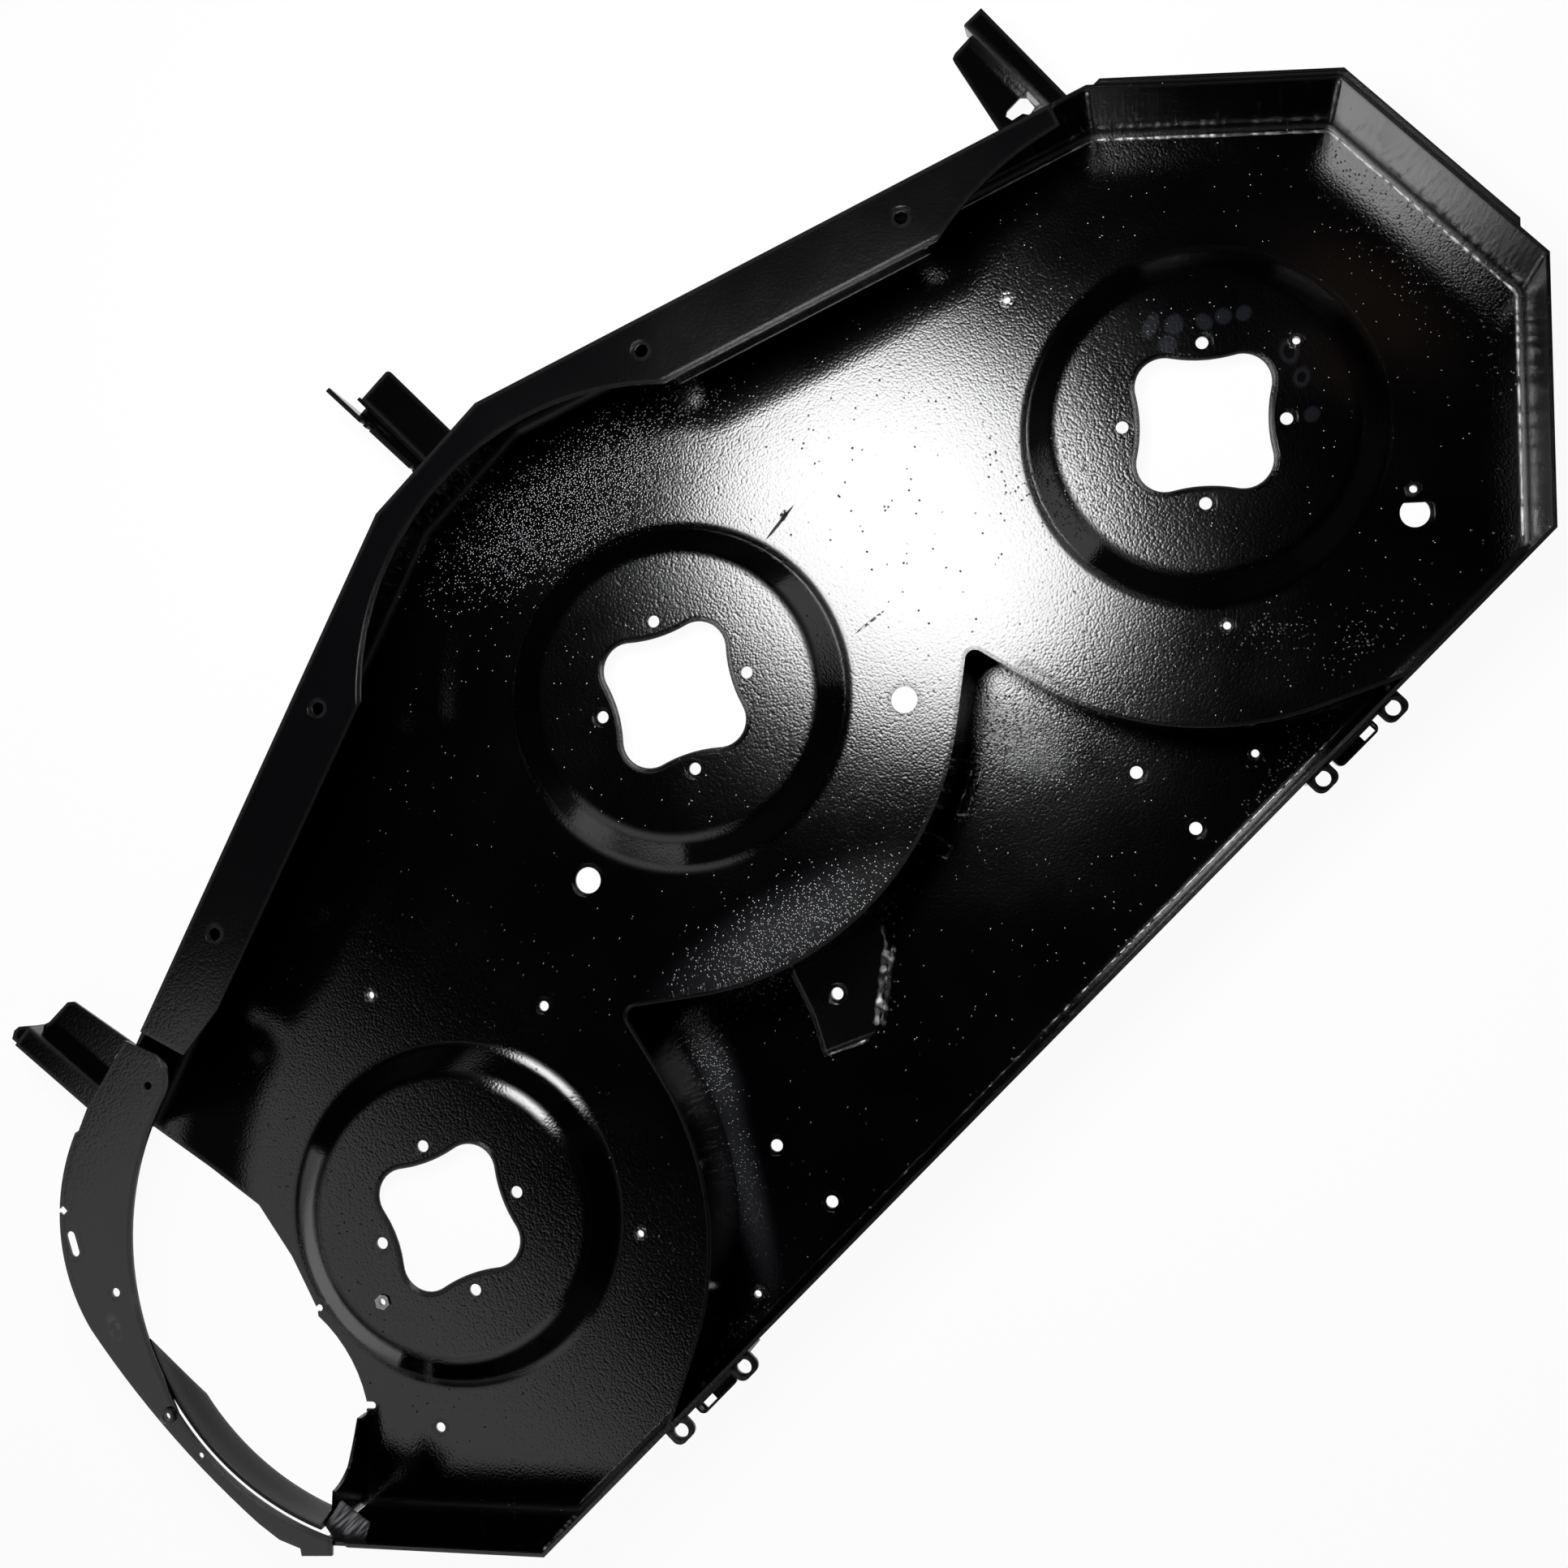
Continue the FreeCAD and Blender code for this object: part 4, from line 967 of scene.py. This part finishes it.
@dataclass
class Studio:
    """Floor, dark overhead flag, lamps, surroundings and camera."""

    flag_height: float = 3.2
    flag_edge_x: float = -1.66
    flag_edge_y: float = 1.1
    flag_reach: float = 7.0
    floor_reach: float = 9.0
    lens_mm: float = 36.0 * 2550.0 / 1932.0
    lamps: tuple[Softbox, ...] = (Softbox("key", (0.2535, 0.2335, 1.25), (0.5, 0.62), 20.0, 6.0),)

    def see_white(self, name: str, shade: Colour, glossy: bool, shadowed: float = 0.0) -> bpy.types.Material:
        """Builds a stage material that the camera sees as white.

        Args:
            name: The material's name.
            shade: Its colour for the light that falls on it.
            glossy: Whether reflections see it white too.
            shadowed: How much of what the camera sees is lit surface, so that shadows show.

        Returns:
            The material.
        """
        material = bpy.data.materials.new(name)
        material.use_nodes = True
        material.node_tree.nodes.clear()
        tree = Tree(material.node_tree)
        output = tree.add("ShaderNodeOutputMaterial")
        surface = tree.add("ShaderNodeBsdfDiffuse")
        surface.inputs["Color"].default_value = (*shade, 1.0)
        glow = tree.add("ShaderNodeEmission")
        glow.inputs["Color"].default_value = (1.0, 1.0, 1.0, 1.0)
        glow.inputs["Strength"].default_value = 1.0
        path = tree.add("ShaderNodeLightPath")
        seen = path.outputs["Is Camera Ray"]
        if glossy:
            seen = tree.math("MAXIMUM", seen, path.outputs["Is Glossy Ray"])
            seen = tree.math("MAXIMUM", seen, path.outputs["Is Transmission Ray"])
        mix = tree.add("ShaderNodeMixShader")
        tree.link(tree.math("MULTIPLY", seen, 1.0 - shadowed), mix.inputs[0])
        tree.link(surface.outputs[0], mix.inputs[1])
        tree.link(glow.outputs[0], mix.inputs[2])
        tree.link(mix.outputs[0], output.inputs[0])
        return material

    def sheet(self, name: str, low: Point, high: Point, z: float, material: bpy.types.Material) -> bpy.types.Object:
        """Makes a flat stage sheet.

        Args:
            name: The sheet's name.
            low: Its lowest corner in metres.
            high: Its highest corner in metres.
            z: Its height in metres.
            material: What it is made of.

        Returns:
            The sheet.
        """
        mesh = bmesh.new()
        bmesh.ops.create_grid(mesh, x_segments=1, y_segments=1, size=0.5)
        bmesh.ops.scale(mesh, vec=(high[0] - low[0], high[1] - low[1], 1.0), verts=mesh.verts)
        middle = ((low[0] + high[0]) / 2, (low[1] + high[1]) / 2, z)
        bmesh.ops.translate(mesh, vec=middle, verts=mesh.verts)
        data = bpy.data.meshes.new(name)
        mesh.to_mesh(data)
        mesh.free()
        data.materials.append(material)
        sheet = bpy.data.objects.new(name, data)
        bpy.context.scene.collection.objects.link(sheet)
        return sheet

    def surroundings(self) -> None:
        """Sets a world that is white to the eye and in reflections, and soft as light."""
        world = bpy.data.worlds.new("surroundings")
        bpy.context.scene.world = world
        world.use_nodes = True
        world.node_tree.nodes.clear()
        tree = Tree(world.node_tree)
        output = tree.add("ShaderNodeOutputWorld")
        dim = tree.add("ShaderNodeBackground")
        dim.inputs["Color"].default_value = (0.6, 0.6, 0.6, 1.0)
        bright = tree.add("ShaderNodeBackground")
        bright.inputs["Color"].default_value = (1.0, 1.0, 1.0, 1.0)
        path = tree.add("ShaderNodeLightPath")
        seen = tree.math("MAXIMUM", path.outputs["Is Camera Ray"], path.outputs["Is Glossy Ray"])
        seen = tree.math("MAXIMUM", seen, path.outputs["Is Transmission Ray"])
        mix = tree.add("ShaderNodeMixShader")
        tree.link(seen, mix.inputs[0])
        tree.link(dim.outputs[0], mix.inputs[1])
        tree.link(bright.outputs[0], mix.inputs[2])
        tree.link(mix.outputs[0], output.inputs[0])

    def camera(self) -> bpy.types.Object:
        """Sets the camera above the open side of the deck, a little off its middle."""
        data = bpy.data.cameras.new("camera")
        data.lens = self.lens_mm
        data.sensor_width = 36.0
        data.sensor_fit = "HORIZONTAL"
        data.clip_start, data.clip_end = 0.05, 50.0
        eye = bpy.data.objects.new("camera", data)
        across = Vector((0.6817, -0.7065, -0.1901)).normalized()
        back = Vector((0.1156, -0.1526, 0.9815)).normalized()
        up = back.cross(across).normalized()
        across = up.cross(back)
        turn = Matrix((across, up, back)).transposed().to_4x4()
        eye.matrix_world = Matrix.Translation((0.21415, -0.35311, 1.6768)) @ turn
        bpy.context.scene.collection.objects.link(eye)
        bpy.context.scene.camera = eye
        return eye

    def build(self) -> None:
        """Makes the whole studio."""
        reach = self.floor_reach
        floor = self.see_white("pale_floor", (0.86, 0.86, 0.86), glossy=True, shadowed=0.06)
        self.sheet("floor", (-reach, -reach), (reach, reach), -0.0004, floor)
        flag = self.see_white("dark_flag", (0.01, 0.01, 0.01), glossy=False)
        far = self.flag_reach
        self.sheet("flag", (self.flag_edge_x, -far), (far, far), self.flag_height, flag)
        self.sheet("side_flag", (-far, self.flag_edge_y), (self.flag_edge_x, far), self.flag_height, flag)
        for lamp in self.lamps:
            lamp.build()
        self.surroundings()
        self.camera()
        view = bpy.context.scene.view_settings
        view.view_transform = "Standard"


WELD_GRITS = (
    Grit((300.0, -225.0, 10.0), (75.0, 35.0, 40.0), 0.08),
    Grit((-330.0, -235.0, 10.0), (60.0, 25.0, 60.0), 0.05),
    Grit((640.0, -150.0, 40.0), (50.0, 50.0, 80.0), 0.06),
    Grit((-640.0, -140.0, 40.0), (50.0, 50.0, 80.0), 0.06),
)
SANDS = (
    Grit((20.0, 358.0, 3.0), (150.0, 75.0, 30.0), 0.9, -20.0),
    Grit((100.0, 335.0, 3.0), (160.0, 70.0, 30.0), 0.8, -10.0),
    Grit((-80.0, -40.0, 3.0), (150.0, 50.0, 30.0), 0.9, -16.0),
    Grit((650.0, -30.0, 20.0), (60.0, 170.0, 40.0), 0.3, -8.0),
    Grit((330.0, 60.0, 22.0), (60.0, 90.0, 30.0), 0.3),
    Grit((200.0, -75.0, 3.0), (130.0, 60.0, 30.0), 0.35, -20.0),
    Grit((168.0, -72.0, 3.0), (34.0, 62.0, 30.0), 0.8, 8.0),
    Grit((-198.1, -67.9, 3.0), (61.7, 21.0, 30.0), 0.9, -114.3),
    Grit((-251.7, -158.3, 3.0), (81.0, 19.0, 30.0), 0.9, -127.6),
)
SPLASHES = (
    Splash((-58.0, -118.0, 3.2), (34.0, 22.0), 35.0, 90),
    Splash((-50.0, -124.0, 3.2), (30.0, 8.0), 38.0, 60),
    Splash((-112.0, -112.0, 3.2), (30.0, 20.0), 60.0, 50, 1.0),
    Splash((365.0, -152.0, 3.2), (62.0, 22.0), -35.0, 130, 1.1),
    Splash((405.0, -205.0, 3.2), (55.0, 22.0), -20.0, 90, 1.1),
    Splash((300.0, -232.0, 3.2), (70.0, 8.0), 0.0, 60, 1.0),
    Splash((-20.0, 372.0, 3.2), (34.0, 22.0), -20.0, 40, 0.9),
    Splash((330.0, 235.0, 3.2), (50.0, 25.0), -20.0, 22, 0.9),
    Splash((-330.0, -236.0, 3.2), (55.0, 6.0), 0.0, 40, 1.0),
)

BARE: Colour = (0.0, 0.0, 0.0)
DUST: Colour = (0.011, 0.012, 0.016)
RUST_DUST: Colour = (0.0045, 0.0031, 0.0023)
SCUFF: Colour = (0.06, 0.058, 0.055)
OVERSPRAY: Colour = (0.016, 0.0165, 0.019)
PLATEAU_STAINS = (
    ((476.0, 84.0), (13.0, 7.0), 20.0, 0.0),
    ((474.0, 64.0), (9.0, 9.0), 0.0, 0.0),
    ((489.0, 71.0), (10.0, 9.0), 40.0, 0.0),
    ((506.0, 55.0), (7.0, 9.0), 0.0, 0.0),
    ((519.0, 47.0), (8.0, 8.0), 0.0, 0.0),
    ((531.0, 37.0), (8.0, 7.0), 0.0, 0.0),
    ((532.0, -10.0), (12.0, 9.0), 60.0, 0.6),
    ((524.0, -31.0), (10.0, 8.0), 30.0, 0.55),
    ((508.0, -57.0), (8.0, 7.0), 0.0, 0.0),
)
DRY_SPRAY = (
    ((-198.1, -67.9, 3.0), (76.0, 24.0, 30.0), -114.3, 1.0),
    ((-251.7, -158.3, 3.0), (110.0, 21.0, 30.0), -122.0, 0.9),
    ((-80.0, -38.0, 3.0), (150.0, 46.0, 30.0), -16.0, 0.8),
    ((168.0, -60.0, 3.0), (34.0, 70.0, 30.0), 8.0, 0.9),
)
SHELL_MARKS = (
    Mark((162.0, 201.5, 3.0), (20.0, 1.5, 4.0), 4.0, BARE, 1.0, 0.6, fade=0.7),
    Mark((168.0, 203.0, 3.0), (5.5, 3.4, 4.0), 20.0, BARE, 1.0, 0.6, 300.0, fade=0.8),
    Mark((154.0, 89.0, 3.0), (18.0, 1.4, 4.0), -9.0, BARE, 1.0, 0.45, 420.0, fade=0.7),
    Mark((2.7, 351.0, 3.0), (25.0, 1.3, 4.0), 88.0, DUST, 1.0, 0.12, fade=0.6),
    Mark((-27.0, 349.0, 3.0), (17.0, 1.1, 4.0), 90.0, DUST, 0.8, 0.12, fade=0.6),
    Mark((604.0, -25.0, 3.0), (135.0, 66.0, 8.0), -86.0, RUST_DUST, 1.0, 0.02, fade=0.0),
    Mark((545.0, -45.0, 22.0), (90.0, 40.0, 14.0), -80.0, RUST_DUST, 0.6, 0.02, fade=0.0),
    *(Mark(at, size, turn, OVERSPRAY, strength, 0.12, fade=0.1) for at, size, turn, strength in DRY_SPRAY),
    *(Mark((*at, 22.0), (*size, 4.0), turn, DUST, 0.6, 0.03, 0.0, 0.6, hollow) for at, size, turn, hollow in PLATEAU_STAINS),
)
RAIL_MARKS = (
    Mark((-686.0, 127.0, 107.0), (16.0, 7.0, 4.0), 66.0, SCUFF, 0.9, 0.25, 110.0),
    Mark((-655.0, 127.0, 107.0), (14.0, 8.0, 4.0), 66.0, SCUFF, 0.5, 0.2, 110.0),
)

RAIL_LEAN = Lean((150.0, 330.0, 107.0), (620.0, 420.0, 60.0), (0.012, 0.05))
# Painted shade: the web under the discharge rail gets less gloss so that it renders darker.
WEB_SHADE = Grit((-676.0, 0.0, 83.0), (70.0, 300.0, 70.0), 0.48)
SHELL_TONE: Colour = (0.0004, 0.0004, 0.0007)
COATS = (
    Coat(Slot.SHELL, SHELL_TONE, 0.11, 0.06, 460.0, WELD_GRITS, SHELL_MARKS, SANDS, 0.1),
    Coat(Slot.RAIL, (0.0022, 0.0022, 0.0026), 0.12, 0.03, 440.0, (), RAIL_MARKS, lean=RAIL_LEAN),
    Coat(Slot.BAFFLE, SHELL_TONE, 0.11, 0.05, 460.0, WELD_GRITS, shade=WEB_SHADE),
    Coat(Slot.WELD, SHELL_TONE, 0.1, 0.08, 360.0, ior=3.2),
    Coat(Slot.BRACKET, (0.0009, 0.0009, 0.0011), 0.13, 0.03, 440.0),
)


def dress_deck(maker: CoatMaker) -> None:
    """Puts the record's finishes on the deck's own solids.

    Args:
        maker: Holds the finishes.
    """
    slots = {entry["node"]: entry["material_slot"] for entry in frame["record"]["subparts"]}
    for name, node in frame["nodes"].items():
        maker.dress(node, Slot(slots.get(name, Slot.SHELL.value)))
        log.info("dressed %s as %s", name, slots.get(name))


def main() -> None:
    """Builds the looks in order."""
    logging.basicConfig(level=logging.INFO, format="%(name)s: %(message)s")
    maker = CoatMaker()
    for coat in COATS:
        maker.black(coat)
    maker.tab()
    dress_deck(maker)
    for builder in (Welding(), Spatter(SPLASHES), OpeningLips()):
        log.info("built %s", builder.build(maker).name)
    Studio().build()


if __name__ == "__main__":
    main()
